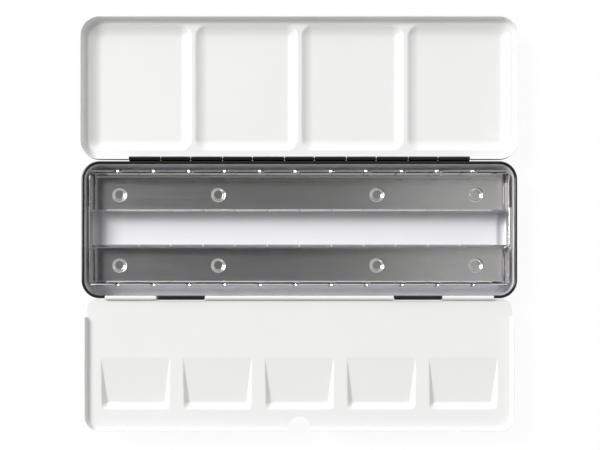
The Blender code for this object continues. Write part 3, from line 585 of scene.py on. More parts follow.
def bright_tinplate(rgba):
    """Bright tinplate, rolled steel with a flow-brightened coat of tin. The eye sees a blurred
    mirror with fine rolling lines along the strip, about 0.4 mm apart here so that they show,
    and a faint cloudiness about 8 mm across where the tin froze."""
    material, tree, shader = new_finish("bright_tinplate")
    if tree is None:
        return material
    place = {"Vector": add_node(tree, "ShaderNodeTexCoord").outputs["Object"]}
    along_strip = {"Scale": (1 / 0.03, 1 / 0.0004, 1 / 0.0004)}
    strip = add_node(tree, "ShaderNodeMapping", along_strip, place).outputs["Vector"]
    fine = {"Scale": 1.0, "Detail": 3.0, "Roughness": 0.6}
    grain = add_node(tree, NOISE, fine, {"Vector": strip}).outputs["Fac"]
    cloud = add_node(tree, NOISE, {"Scale": 1 / 0.008, "Detail": 3.0}, place)
    gloss = vary(tree, shader, rgba, cloud.outputs["Fac"], 0.86, grain, (0.17, 0.23))
    gloss.inputs["From Min"].default_value = 0.25
    gloss.inputs["From Max"].default_value = 0.75
    lines_deep = {"Strength": 0.12, "Distance": 0.00001}
    bump = add_node(tree, "ShaderNodeBump", lines_deep, {"Height": grain})
    tree.links.new(bump.outputs["Normal"], shader.inputs["Normal"])
    shader.inputs["Metallic"].default_value = 0.89
    return material


def drawn_steel(rgba):
    """Bright drawn steel wire. The eye sees a clean metal gloss, broken by darker and duller
    flecks of drawing soap about 1 mm long."""
    material, tree, shader = new_finish("drawn_steel")
    if tree is None:
        return material
    place = {"Vector": add_node(tree, "ShaderNodeTexCoord").outputs["Object"]}
    fleck = add_node(tree, NOISE, {"Scale": 1 / 0.001, "Detail": 3.0}, place)
    vary(tree, shader, rgba, fleck.outputs["Fac"], 0.7, fleck.outputs["Fac"], (0.2, 0.36))
    shader.inputs["Metallic"].default_value = 1.0
    return material


def palette_white():
    return stoved_enamel("white_stoved_enamel", settings().colours.palette_white, 0.2, 0.25)


def inside_white():
    return stoved_enamel("cool_white_stoved_enamel", settings().colours.inside_white, 0.24, 0.25)


def outside_black():
    return stoved_enamel("black_stoved_enamel", settings().colours.outside_black, 0.2, 0.3)


def tinplate():
    return bright_tinplate(settings().colours.tin)


def wire_steel():
    return drawn_steel(settings().colours.wire)


class PAINTBOX_OT_body(bpy.types.Operator):
    """Makes the drawn body with its bead and the knuckles of its front wall"""

    bl_idname = "paintbox.body"
    bl_label = "Body"

    def execute(self, context):
        s = settings()
        sheet, body, hinge = s.sheet, s.body, s.hinge
        centre = BODY_BACK_Y - body.depth / 2
        inset = body.fillet + body.standing_rim + body.recess_slope
        edge_x, edge_y, radius = (
            half - body.bead + sheet.gauge / 2 - inset
            for half in (BODY_HALF_X, body.depth / 2, body.corner)
        )
        end = FLAP_HINGE_HALF + sheet.knuckle_gap
        outer = FLAP_HINGE_HALF - hinge.end_knuckle - sheet.knuckle_gap / 2
        inner = outer - hinge.body_knuckle + sheet.knuckle_gap
        marks = [side * x for side in (-1, 1) for x in (end, outer, inner)]
        xs = lines(-edge_x, edge_x, FLAT_STEP, marks, both_ends(edge_x, radius, radius / 8))
        ys = lines(-edge_y, edge_y, FLAT_STEP, (), both_ends(edge_y, radius, radius / 8)) + centre
        plate = RoundedPlate(xs, ys, radius)

        base = sheet.gauge / 2
        t = np.linspace(0, 1, 9)
        rise = body.recess * (1 - t * t * (3 - 2 * t))
        slope = np.stack([body.recess_slope * t, base + rise], axis=1)
        rim = body.recess_slope + body.standing_rim
        # The walls change from side to front a little below the knuckles.
        level = FLAP_AXIS[2] - hinge.flap_knuckle - sheet.gauge / 6
        fillet = arc(rim, base + body.fillet, body.fillet, -90, 90, 10)
        side = join(slope, [[rim, base]], fillet, [[inset, level]])
        curl = (body.bead - sheet.gauge) / 2
        bead_z = body.height - body.bead / 2
        bead = join([[inset, bead_z]], arc(inset + curl, bead_z, curl, 180, -270, 20))
        rest = plate.all_but(plate.side(-1, -end, end))
        grids = [
            grid_of(plate.x, plate.y, base + body.recess),
            (plate.wall(side), True, 0),
            plate.wall([[inset, level], [inset, bead_z]], rest),
            (plate.wall(bead, rest), False, 1),
        ]
        curl = hinge.flap_knuckle - sheet.gauge / 2
        axis = centre - FLAP_AXIS[1] - edge_y
        turn = arc(axis, FLAP_AXIS[2], curl, 180, -280, 26)
        roll = join([[inset, level], [axis - curl, FLAP_AXIS[2]]], turn)
        for low, high in ((-outer, -inner), (inner, outer)):
            grids.append((plate.wall(roll, plate.side(-1, low, high)), False, 1))
        coats = [inside_white(), outside_black(), outside_black()]
        make_sheet("enamelled_body", "box_body", "box", "black_enamel", coats, grids, 1, 1)
        return {"FINISHED"}


def well_cells(half_x, pan):
    """Middles and half width of the equal wells of a lid or flap, with ribs between them."""
    low = pan.side_border - half_x
    width = (-2 * low - (pan.wells - 1) * pan.rib) / pan.wells
    return low + width / 2 + (width + pan.rib) * np.arange(pan.wells), width / 2


def lid_height(plate, lid, rims, half_x):
    """Depth of the lid's soft wells: each well is a rounded rectangle, and its side falls with
    the distance inside its rim as t (2 - t), steepest at the rim and level at the slope's foot.
    The rim is rounded by letting the distance start as a parabola."""
    middles, half = well_cells(half_x, lid)
    centre_y, half_y = (rims[0] + rims[1]) / 2, (rims[1] - rims[0]) / 2
    across = np.abs(plate.x[..., None] - middles).min(axis=-1) - (half - lid.well_corner)
    off = np.abs(plate.y - centre_y) - (half_y - lid.well_corner)
    round_part = np.hypot(np.maximum(across, 0), np.maximum(off, 0))
    inside = lid.well_corner - round_part - np.minimum(np.maximum(across, off), 0)
    bend = lid.well_rim
    eased = (np.clip(inside, -bend, bend) + bend) ** 2 / (4 * bend)
    share = np.clip(np.where(inside > bend, inside, eased) / lid.well_slope, 0, 1)
    return -lid.well_depth * share * (2 - share)


class PAINTBOX_OT_lid(bpy.types.Operator):
    """Makes the mixing lid with its four soft wells"""

    bl_idname = "paintbox.lid"
    bl_label = "Mixing Lid"

    def execute(self, context):
        s = settings()
        sheet, body, lid, flap, hinge = s.sheet, s.body, s.lid, s.flap, s.hinge
        gauge = sheet.gauge
        top_shut = FLAP_AXIS[2] + hinge.flap_knuckle + flap.well_depth + sheet.rest_gap + gauge / 2
        edge_shut = FLAP_AXIS[2] - hinge.flap_knuckle + gauge + sheet.rest_gap
        relief_shut = LID_AXIS[2] + hinge.lid_knuckle + sheet.rest_gap
        plate_z, edge_z, relief_z = (
            2 * LID_AXIS[2] - z for z in (top_shut, edge_shut, relief_shut)
        )
        near = LID_AXIS[1] - lid.back_step
        half_x = BODY_HALF_X + lid.side_gap + gauge
        inset = lid.fillet + gauge / 2
        radius = body.corner + lid.side_gap - inset
        relief = LID_HINGE_HALF + sheet.knuckle_gap * 1.5
        middles, half = well_cells(half_x, lid)
        plate_x = half_x - inset
        fine = []
        for middle in middles:
            for side in (-1, 1):
                rim = middle + side * (half + lid.well_rim)
                foot = middle + side * (half - lid.well_slope)
                low, high = max(min(rim, foot), -plate_x), min(max(rim, foot), plate_x)
                fine.append((low, high, WELL_STEP))
        xs = lines(-plate_x, plate_x, PLATE_STEP, (-relief, relief), fine)
        xs = lines(-plate_x, plate_x, PLATE_STEP, xs, both_ends(plate_x, radius, LID_CORNER_STEP))
        low, high = near + inset, LID_FAR_Y - inset
        rims = (near + lid.back_border, LID_FAR_Y - lid.front_border)
        fine = [
            (low, rims[0] + lid.well_slope, WELL_STEP),
            (rims[1] - lid.well_slope, high, WELL_STEP),
        ]
        plate = RoundedPlate(xs, lines(low, high, PLATE_STEP, (), fine), radius)
        fold = arc(0, plate_z + lid.fillet, lid.fillet, -90, 90, 12)
        side = join([[0, plate_z]], fold, [[lid.fillet, relief_z]])
        rest = plate.all_but(plate.side(-1, -relief, relief))
        upper = [[lid.fillet, relief_z], [lid.fillet, edge_z]]
        grids = [
            grid_of(plate.x, plate.y, plate_z + lid_height(plate, lid, rims, half_x)),
            (plate.wall(side), True, 0),
            plate.wall(upper, rest),
        ]
        coats = [palette_white(), outside_black()]
        make_sheet("enamelled_mixing_lid", "mixing_lid", "lid", "white_enamel", coats, grids, 1)
        return {"FINISHED"}


def flap_height(plate, flap, near, half_x):
    """Depth of the flap's ramped wells: the floor falls evenly with the distance from the hinge
    side, the side slopes widen as it falls, and a straight front slope brings it back up."""
    middles, half = well_cells(half_x, flap)
    away = near - plate.y
    fall = np.clip(away / (flap.well_length - flap.front_wall), 0, 1)
    inside = half - np.abs(plate.x[..., None] - middles).min(axis=-1)
    side = ramp(inside / np.maximum(flap.side_wall * fall, NARROWEST_SIDE), WELL_EASE)
    front = ramp((flap.well_length - away) / flap.front_wall, WELL_EASE)
    return -flap.well_depth * fall * side * front * ramp(away / START_BEND, START_EASE)


class PAINTBOX_OT_flap(bpy.types.Operator):
    """Makes the mixing flap with its ramped wells, flange, thumb notch and knuckles"""

    bl_idname = "paintbox.flap"
    bl_label = "Mixing Flap"

    def execute(self, context):
        s = settings()
        sheet, body, flap, hinge = s.sheet, s.body, s.flap, s.hinge
        gauge = sheet.gauge
        plate_z = FLAP_AXIS[2] - hinge.flap_knuckle + gauge / 2
        half_x = BODY_HALF_X - body.bead - sheet.rest_gap
        inset = flap.flange_fillet + gauge / 2
        radius = body.corner - body.bead - sheet.rest_gap - inset
        plate_x = half_x - inset
        back = BODY_BACK_Y - body.depth - flap.back_gap
        end = FLAP_HINGE_HALF
        outer = end - hinge.end_knuckle + sheet.knuckle_gap / 2
        inner = end - hinge.end_knuckle - hinge.body_knuckle - sheet.knuckle_gap / 2
        slant = sheet.knuckle_gap / 4
        start_y = FLAP_AXIS[1] - flap.flange_start
        near = FLAP_FAR_Y + flap.front_border + flap.well_length
        places = (end, outer, outer - slant, inner + slant, inner)
        cuts = [side * x for side in (-1, 1) for x in places]
        middles, half = well_cells(half_x, flap)
        # Fine faces start outside a well's rim and go on past the feet of its slopes.
        outside, past_side, past_front, past_start = 0.0005, 0.001, 0.0008, 0.0004
        reach = flap.side_wall + past_side
        fine = []
        for middle in middles:
            fine.append((middle - half - outside, middle - half + reach, SLOPE_STEP))
            fine.append((middle + half - reach, middle + half + outside, SLOPE_STEP))
        xs = lines(-plate_x, plate_x, PLATE_STEP, cuts, fine)
        xs = lines(-plate_x, plate_x, PLATE_STEP, xs, both_ends(plate_x, radius, FLAP_CORNER_STEP))
        low = FLAP_FAR_Y + inset
        deep = near - flap.well_length
        fine = [
            (low, low + radius, FLAP_CORNER_STEP),
            (deep - outside, deep + flap.front_wall + past_front, SLOPE_STEP),
            (near - START_BEND - past_start, near + past_start, SLOPE_STEP),
            (back - radius, back, FLAP_CORNER_STEP),
            (start_y - flap.flange_ramp, start_y, flap.flange_ramp / 4),
        ]
        ys = lines(low, back, PLATE_STEP / 2, (), fine)
        plate = RoundedPlate(xs, ys, radius)
        x, y = plate.points.T
        # Beside the middle knuckles the plate's edge is cut back for the body's knuckles.
        notch = FLAP_AXIS[1] - hinge.flap_knuckle - sheet.rest_gap
        in_notch = (np.abs(xs) > inner + slant / 2) & (np.abs(xs) < outer - slant / 2)
        cut_back = in_notch[:, None] & (ys > notch - TINY)[None, :]
        plate.y = np.where(cut_back, notch, plate.y)
        tip = flap.flange_fillet
        rim = [[tip, plate_z - gauge / 2 + flap.flange]]
        flange = join([[0, plate_z]], arc(0, plate_z + tip, tip, -90, 90, 8), rim)
        flanged = np.flatnonzero(y < start_y + TINY)
        split = int(np.argmax(np.diff(flanged))) + 1
        if np.diff(flanged).max() > 1:
            flanged = join(flanged[split:], flanged[:split])
        started = np.clip((start_y - y[flanged]) / flap.flange_ramp, 0, 1)
        rise = FLANGE_LOW + (1 - FLANGE_LOW) * started
        grids = [
            grid_of(plate.x, plate.y, plate_z + flap_height(plate, flap, near, half_x)),
            plate.wall(flange, flanged, rise),
        ]
        sideways = np.abs(plate.ways[:, 0])
        free = (y > start_y - TINY) & (sideways > 0)
        edge = [[0, plate_z], [flap.free_edge, plate_z]]
        for places in (np.flatnonzero(free & (x > 0)), np.flatnonzero(free & (x < 0))):
            grids.append(plate.wall(edge, places, sideways[places]))
        curl = hinge.flap_knuckle - gauge / 2
        axis = FLAP_AXIS[1] - back
        turn = arc(axis, FLAP_AXIS[2], curl, -90, 288, 26)
        roll = join([[0, plate_z], [axis, plate_z]], turn)
        for low_x, high_x in ((-end, -outer), (-inner, inner), (outer, end)):
            grids.append(plate.wall(roll, plate.side(1, low_x, high_x)))
        coats = [palette_white()]
        names = ("enamelled_mixing_flap", "mixing_flap", "flap", "white_enamel")
        make_sheet(*names, coats, grids, trim=lambda obj: cut_notch(obj, flap, plate_z))
        return {"FINISHED"}


def cut_notch(obj, flap, plate_z):
    """Cuts the thumb notch: half a circle about a point inside the far edge, carried straight
    out over the edge."""
    middle = FLAP_FAR_Y + flap.notch_depth - flap.notch
    out = FLAP_FAR_Y - flap.flange
    turn = np.linspace(0, math.pi, 49)
    arch = np.stack([flap.notch * np.cos(turn), middle + flap.notch * np.sin(turn)], axis=1)
    outline = join([[flap.notch, out]], arch, [[-flap.notch, out]])
    bm = bmesh.new()
    face = bm.faces.new([bm.verts.new((x, y, plate_z - flap.flange)) for x, y in outline])
    lifted = bmesh.ops.extrude_face_region(bm, geom=[face])["geom"]
    tall = [item for item in lifted if isinstance(item, bmesh.types.BMVert)]
    bmesh.ops.translate(bm, verts=tall, vec=(0, 0, 3 * flap.flange))
    mesh = bpy.data.meshes.new("notch_cutter")
    bm.to_mesh(mesh)
    bm.free()
    cutter = link("notch_cutter", mesh)
    face_out(cutter)
    modify(obj, "Thumb notch", "BOOLEAN", operation="DIFFERENCE", object=cutter)
    bpy.data.objects.remove(cutter)


def leaf_spans(sheet, hinge, wide):
    """The stretches along X of the piano hinge's knuckles, of the body's leaf or the lid's."""
    half = LID_HINGE_HALF + sheet.knuckle_gap / 2
    narrow_count = hinge.lid_wide_count - 1
    wide_width = (2 * half - narrow_count * hinge.lid_narrow) / hinge.lid_wide_count
    pitch = wide_width + hinge.lid_narrow
    if wide:
        low = -half + pitch * np.arange(hinge.lid_wide_count)
        width = wide_width
    else:
        low = -half + wide_width + pitch * np.arange(narrow_count)
        width = hinge.lid_narrow
    return np.stack([low + sheet.knuckle_gap / 2, low + width - sheet.knuckle_gap / 2], axis=1)


def make_leaf(name, node, body, wide, out, top, tab):
    """A leaf of the piano hinge: a strip that stands at out, from its own height below top up
    to it, and a tab rolled round the pin at each of its knuckles."""
    s = settings()
    spans = leaf_spans(s.sheet, s.hinge, wide)
    xs = lines(-LID_HINGE_HALF, LID_HINGE_HALF, FLAT_STEP, spans.reshape(-1))
    grids = [straight(xs, [[0, top - s.hinge.leaf], [0, top]], out)]
    grids += [straight(between(xs, low, high), tab, out) for low, high in spans]
    make_sheet(name, node, body, "black_enamel", [outside_black()], grids)


class PAINTBOX_OT_lid_hinge(bpy.types.Operator):
    """Makes the two leaves of the piano hinge and its pin"""

    bl_idname = "paintbox.lid_hinge"
    bl_label = "Piano Hinge"

    def execute(self, context):
        s = settings()
        sheet, hinge = s.sheet, s.hinge
        curl = hinge.lid_knuckle - sheet.gauge / 2
        axis_y, axis_z = LID_AXIS[1:]

        out = BODY_BACK_Y - s.body.bead + sheet.gauge * 1.5 + sheet.rest_gap
        reach = axis_y - out
        foot = sheet.knuckle_gap
        bend = axis_z - curl - foot
        step = join([[0, bend]], arc(foot, bend, foot, 180, -90, 6), [[reach, axis_z - curl]])
        tab = join(step, arc(reach, axis_z, curl, -90, 290, 28))
        make_leaf("body_hinge_leaf", "lid_hinge_body_leaf", "box", True, out, bend, tab)

        top = axis_z - hinge.lid_knuckle - sheet.rest_gap
        tab = join([[0, top], [0, axis_z]], arc(curl, axis_z, curl, 180, -290, 28))
        out = axis_y - curl
        make_leaf("lid_hinge_leaf", "lid_hinge_lid_leaf", "lid", False, out, top, tab)

        make_pin("piano_hinge_pin", "lid_hinge_pin", LID_AXIS)
        return {"FINISHED"}


class PAINTBOX_OT_flap_pin(bpy.types.Operator):
    """Makes the pin of the flap's hinge"""

    bl_idname = "paintbox.flap_pin"
    bl_label = "Flap Pin"

    def execute(self, context):
        make_pin("flap_pin_wire", "flap_hinge_pin", FLAP_AXIS)
        return {"FINISHED"}


def tube(path, ahead, radius):
    """A round wire about a level path. At each point a circle of 24 points stands across the
    way ahead: its level side times the cosine plus the upright times the sine."""
    ahead = ahead / np.linalg.norm(ahead, axis=-1, keepdims=True)
    up = np.array([0.0, 0.0, 1.0])
    side = np.cross(up, ahead)
    angles = np.linspace(0, 2 * math.pi, 24, endpoint=False)[:, None]
    circle = side[..., None, :] * np.cos(angles) + up * np.sin(angles)
    return path[:, None, :] + np.reshape(radius, (-1, 1, 1)) * circle


def make_pin(name, node, axis):
    """A pin as a wire along X. Its ends close flat, with edges rounded by a quarter circle of a
    third of its radius."""
    low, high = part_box(node)
    radius = (high.z - low.z) / 2
    ease = radius / 3
    turn = np.linspace(0, math.pi / 2, 5)
    inset = ease * (1 - np.cos(turn))
    rise = radius - ease + ease * np.sin(turn)
    xs = join([low.x], low.x + inset, high.x - inset[::-1], [high.x])
    radii = join([0], rise, rise[::-1], [0])
    path = grid_of(xs, axis[1], axis[2])
    make_wire(name, node, "box", tube(path, np.array([1.0, 0.0, 0.0]), radii))


def rack_measures():
    """Places of the rack that its frame and its clip channels share."""
    s = settings()
    sheet, body, rack, hinge = s.sheet, s.body, s.rack, s.hinge
    rail = body.depth / 2 - body.bead - rack.side_gap
    outer = rail - rack.flare + rack.lean - sheet.gauge - sheet.run_gap
    inner = outer - rack.row_width
    floor = body.recess + sheet.gauge + sheet.rest_gap + rack.dimple_depth + sheet.gauge / 2
    top = FLAP_AXIS[2] + hinge.flap_knuckle - s.flap.flange - sheet.rest_gap - sheet.gauge / 2
    end = BODY_HALF_X - body.bead - rack.end_gap
    channel_end = end - sheet.gauge - rack.channel_gap
    far = channel_end - rack.dimple_end
    near = far - rack.dimple_spacing
    pitch = 2 * (end - rack.lance_end) / (rack.lances - 1)
    middles = rack.lance_offset + (np.arange(rack.lances) - (rack.lances - 1) / 2) * pitch
    return SimpleNamespace(
        centre=BODY_BACK_Y - body.depth / 2 + rack.shift,
        rail=rail,
        row=(inner + outer) / 2,
        window=inner + sheet.gauge / 2,
        tab_half=inner + rack.tab_overlap,
        floor=floor,
        frame_floor=floor - sheet.gauge - sheet.rest_gap,
        top=top,
        end=end - sheet.gauge / 2,
        channel_end=channel_end,
        dimples=rack.dimple_offset + np.array([-far, -near, near, far]),
        lance_starts=middles - rack.lance_half,
        lance_ends=middles + rack.lance_half,
    )


def lean_out(z, m):
    """An end wall leans out evenly from its fold to its top edge."""
    rack = settings().rack
    low = m.frame_floor + rack.bend
    return rack.end_lean * np.clip((z - low) / (m.top - low), 0, 1)


class PAINTBOX_OT_rack_frame(bpy.types.Operator):
    """Makes the rack's frame: floor strips, end walls, straps with tabs, rails with lances"""

    bl_idname = "paintbox.rack_frame"
    bl_label = "Rack Frame"

    def execute(self, context):
        rack = settings().rack
        m = rack_measures()
        bend = rack.bend
        limit = m.end - rack.relief
        reach = rack.dimple + 2 * rack.hole_gap
        holes = [(x - reach, x + reach, HOLE_STEP) for x in m.dimples]
        xs = lines(-limit, limit, FLAT_STEP, join(m.lance_starts, m.lance_ends), holes)
        hole = [(m.row - reach, m.row + reach, HOLE_STEP)]
        ys = lines(m.window, m.rail - bend, FLAT_STEP / 2, (m.tab_half,), hole)
        notch_z = m.top - rack.lance_depth
        turn = arc(m.rail - bend, m.frame_floor + bend, bend, -90, 90, 5)
        fold = join([[m.rail - bend, m.frame_floor]], turn, [[m.rail, notch_z]])
        lip_z = m.top - 2 * rack.lip
        straight_up = [[m.rail, notch_z], [m.rail, lip_z - rack.lance_neck]]
        lip = join(straight_up, curled_edge(m.rail, m.top, rack.lip_reach, 2 * rack.lip))
        starts = [-limit, *m.lance_ends]
        ends = [*m.lance_starts, limit]
        grids = []
        for side in (-1, 1):
            y = side * ys + m.centre
            strip = grid_of(xs[:, None], y, m.frame_floor)
            grids += [strip[:, ::side], straight(xs, fold, m.centre, side)]
            for low, high in zip(starts, ends):
                grids.append(straight(between(xs, low, high), lip, m.centre, side))
            grids += self.lances(side, m)
            grids += [self.end_wall(side, facing, m) for facing in (-1, 1)]
        for facing in (-1, 1):
            grids += self.strap(facing, m)
        names = ("tinplate_rack_frame", "rack_frame", "box", "tinplate")
        make_sheet(*names, [tinplate()], grids, cut=lambda obj: self.cut_holes(obj, m))
        return {"FINISHED"}

    def lances(self, side, m):
        """Each lance hangs by a short neck on the upright edge of its notch and is twisted until
        it lies almost level: a ruled surface, (1 - u) times the neck plus u times the outer
        edge, which starts a twentieth of its reach out."""
        rack = settings().rack
        plane = m.centre + side * m.rail
        high = m.top - 2 * rack.lip
        out = side * rack.lance_reach
        u = np.linspace(0, 1, 7)[:, None]
        grids = []
        for edge in m.lance_ends:
            inner = np.array([edge - rack.lance_tab, plane + out / 20, high - rack.lance_drop])
            outer = inner + [-rack.lance_tip, out, -rack.lance_fall]
            lower = (1 - u) * [edge, plane, high - rack.lance_neck] + u * inner
            upper = (1 - u) * [edge, plane, high] + u * outer
            grids.append(np.stack([lower, upper]))
        return grids

    def end_wall(self, side, facing, m):
        """One row's end wall: folded up from the floor strip over a small radius, upright to the
        strap's level, with the inner edge slanting in under the strap."""
        rack = settings().rack
        bend = rack.bend
        strap = m.top - rack.strap
        turn = np.radians(np.linspace(-90, 0, 6))
        fold_x = m.end - bend + bend * np.cos(turn)
        fold_z = m.frame_floor + bend + bend * np.sin(turn)
        x = join([m.end - rack.relief], fold_x[1:], [m.end] * 3)
        z = join([m.frame_floor], fold_z[1:], [strap - rack.gusset, strap, m.top])
        x = facing * (x + lean_out(z, m))
        inner = join(np.full(len(x) - 2, m.window), np.full(2, m.window - rack.gusset))[:, None]
        # The first column of faces is narrower, beside the slanting edge.
        share = join([0.0], np.linspace(0.12, 1, 6))
        y = inner + (m.rail - rack.relief - inner) * share
        return grid_of(x[:, None], m.centre + side * y, z[:, None])

    def strap(self, facing, m):
        """The strap across the middle and the tab bent out from its top edge."""
        s = settings()
        half = m.window - s.rack.gusset
        z = np.array([m.top - s.rack.strap, m.top])[:, None]
        x = facing * (m.end + lean_out(z, m))
        plate = grid_of(x, m.centre + np.linspace(-half, half, 9), z)
        edge = m.end + s.rack.end_lean
        turn = np.radians(np.linspace(180, 90, 6))
        tab_end = BODY_HALF_X - s.body.bead - s.sheet.rest_gap
        x = facing * join(edge + TAB_BEND * (1 + np.cos(turn)), [tab_end])
        z = join(m.top - TAB_BEND * (1 - np.sin(turn)), [m.top])
        y = m.centre + np.linspace(-m.tab_half, m.tab_half, 11)
        return [plate, grid_of(x[:, None], y, z[:, None])]

    def cut_holes(self, obj, m):
        """Round holes in the floor strips, through which the channels' dimples reach. The strips
        are a fine grid there: faces inside the circle go, and its edge points move out onto it."""
        face_out(obj)
        rack = settings().rack
        radius = rack.dimple + rack.hole_gap
        edge_reach = radius * 1.25
        middles = [Vector((x, m.centre + side * m.row)) for side in (-1, 1) for x in m.dimples]
        bm = bmesh.new()
        bm.from_mesh(obj.data)
        inside = []
        for face in bm.faces:
            spot = face.calc_center_median()
            near = min((spot.xy - middle).length for middle in middles)
            if abs(spot.z - m.frame_floor) < TINY and near < radius:
                inside.append(face)
        bmesh.ops.delete(bm, geom=inside, context="FACES")
        edge = {vert for item in bm.edges if item.is_boundary for vert in item.verts}
        for vert in edge:
            away = min((vert.co.xy - middle for middle in middles), key=lambda way: way.length)
            if abs(vert.co.z - m.frame_floor) < TINY and away.length < edge_reach:
                vert.co.xy += away.normalized() * radius - away
        bm.to_mesh(obj.data)
        bm.free()


class PAINTBOX_OT_channels(bpy.types.Operator):
    """Makes the two clip channels with their spring tongues and pressed dimples"""

    bl_idname = "paintbox.channels"
    bl_label = "Clip Channels"

    def execute(self, context):
        self.make_channel(1, "tinplate_channel_back", "pan_channel_back")
        self.make_channel(-1, "tinplate_channel_front", "pan_channel_front")
        return {"FINISHED"}

    def make_channel(self, side, name, node):
        """The trough is a profile across the row, carried along X, with each dimple a straight
        cone between two radii, rounded at both. The tongues stand on its two edges, and those on
        the outer side have a window behind each lance."""
        rack = settings().rack
        m = rack_measures()
        end, top, bend = m.channel_end, m.top, rack.bend
        row = m.centre + side * m.row
        half = rack.row_width / 2
        root = m.floor + rack.tongue_root
        pitch = 2 * (end - rack.tongue_end) / rack.tongues
        slits = (np.arange(rack.tongues + 1) - rack.tongues / 2) * pitch
        cuts = np.sort(join(slits - rack.slit / 2, slits + rack.slit / 2))
        reach = rack.dimple + DIMPLE_RIM
        fine = [(x - reach, x + reach, DIMPLE_STEP) for x in m.dimples]
        marks = join(cuts, m.lance_starts, m.lance_ends)
        xs = lines(-end, end, FLAT_STEP, marks, fine)
        fine = [(-reach, reach, DIMPLE_STEP)]
        across = lines(bend - half, half - bend, FLAT_STEP / 2, (), fine)[1:-1]
        turn = np.radians(np.linspace(0, 90, 6))
        fold_y = half - bend + bend * np.cos(turn)
        fold_z = m.floor + bend - bend * np.sin(turn)
        y = join([-half], -fold_y, across, fold_y[::-1], [half])
        z = join([root], fold_z, np.full(len(across), m.floor), fold_z[::-1], [root])
        distance = np.hypot(np.abs(xs[:, None] - m.dimples).min(axis=1)[:, None], y)
        share = (rack.dimple - distance) / (rack.dimple - rack.dimple_flat)
        z = z - rack.dimple_depth * ramp(share, DIMPLE_EASE)
        grids = [grid_of(xs[:, None], row + y, z)]

        starts = [-end, *cuts[1::2]]
        ends = [*cuts[0::2], end]
        for facing in (-1, 1):
            for index, (low, high) in enumerate(zip(starts, ends)):
                is_tongue = 0 < index < len(starts) - 1
                path = self.tongue(half, root, top) if is_tongue else [[half, root], [half, top]]
                grid = straight(between(xs, low, high), path, row, facing)
                x, _, z = np.moveaxis((grid[:-1, :-1] + grid[1:, 1:]) / 2, -1, 0)
                beside = (x[..., None] > m.lance_starts) & (x[..., None] < m.lance_ends)
                level = (z > top - rack.lance_depth) & (z < top - rack.tip - rack.window_bar)
                window = beside.any(axis=-1) & level & (facing == side) & is_tongue
                grids.append((grid, False, 0, ~window))
        make_sheet(name, node, "box", "tinplate", [tinplate()], grids)

    def tongue(self, half, root, top):
        """Across the row, a tongue leans over the pans by its lean times t to the power 1.4, and
        its tip curls out."""
        rack = settings().rack
        neck_z = top - rack.tip
        marks = [top - rack.lance_depth, neck_z - rack.window_bar]
        levels = np.unique(np.round([*np.linspace(root, neck_z, 6), *marks], 7))
        levels = levels[levels >= root - TINY]
        share = np.clip((levels - root) / (neck_z - root), 0, 1)
        rise = np.stack([half - rack.lean * share**1.4, levels], axis=1)
        return join(rise, curled_edge(half - rack.lean, top, rack.flare, rack.tip)[1:])


class PAINTBOX_OT_ring(bpy.types.Operator):
    """Makes the thumb ring and the strap that holds it under the base"""

    bl_idname = "paintbox.ring"
    bl_label = "Thumb Ring"

    def execute(self, context):
        s = settings()
        sheet, ring = s.sheet, s.ring
        centre = BODY_BACK_Y - s.body.depth / 2
        z = s.body.recess - sheet.rest_gap - ring.wire
        make_wire("wire_thumb_ring", "thumb_ring", "ring", self.ring(ring, centre, z))

        foot_z = s.body.recess - sheet.rest_gap - sheet.gauge / 2
        saddle = ring.wire + sheet.rest_gap + sheet.gauge / 2
        foot = [[-ring.foot, foot_z], [-saddle - ring.strap_bend, foot_z], [-saddle, z]]
        other_foot = [[saddle + ring.strap_bend, foot_z], [ring.foot, foot_z]]
        path = join(foot, arc(0, z, saddle, 180, 180, 20), other_foot)
        xs = np.linspace(-ring.strap_half, ring.strap_half, 7)
        names = ("ring_strap", "thumb_ring_strap", "box", "steel_wire")
        make_sheet(*names, [wire_steel()], [straight(xs, path, centre)])
        return {"FINISHED"}

    def ring(self, ring, centre, z):
        """The ring is most of a circle closed by a straight bar, which is its chord and lies on
        the hinge's axis. The two corners are rounded by averaging each point with its two
        neighbours, twice."""
        bar = ring.strap_half + ring.side_gap + ring.wire
        chord = math.sqrt(ring.radius**2 - bar**2)
        half_gap = math.atan2(bar, chord)
        angles = math.pi / 2 + half_gap + 2 * (math.pi - half_gap) * np.linspace(0, 1, 97)
        loop = np.stack([ring.radius * np.cos(angles), ring.radius * np.sin(angles) - chord], 1)
        line = np.stack([np.linspace(bar, -bar, 13)[1:-1], np.zeros(11)], axis=1)
        path = join(loop, line)
        for _ in range(2):
            path = (np.roll(path, 1, axis=0) + 2 * path + np.roll(path, -1, axis=0)) / 4
        path = grid_of(path[:, 0], path[:, 1] + centre, z)
        points = tube(path, np.roll(path, -1, axis=0) - np.roll(path, 1, axis=0), ring.wire)
        return join(points, points[:1])


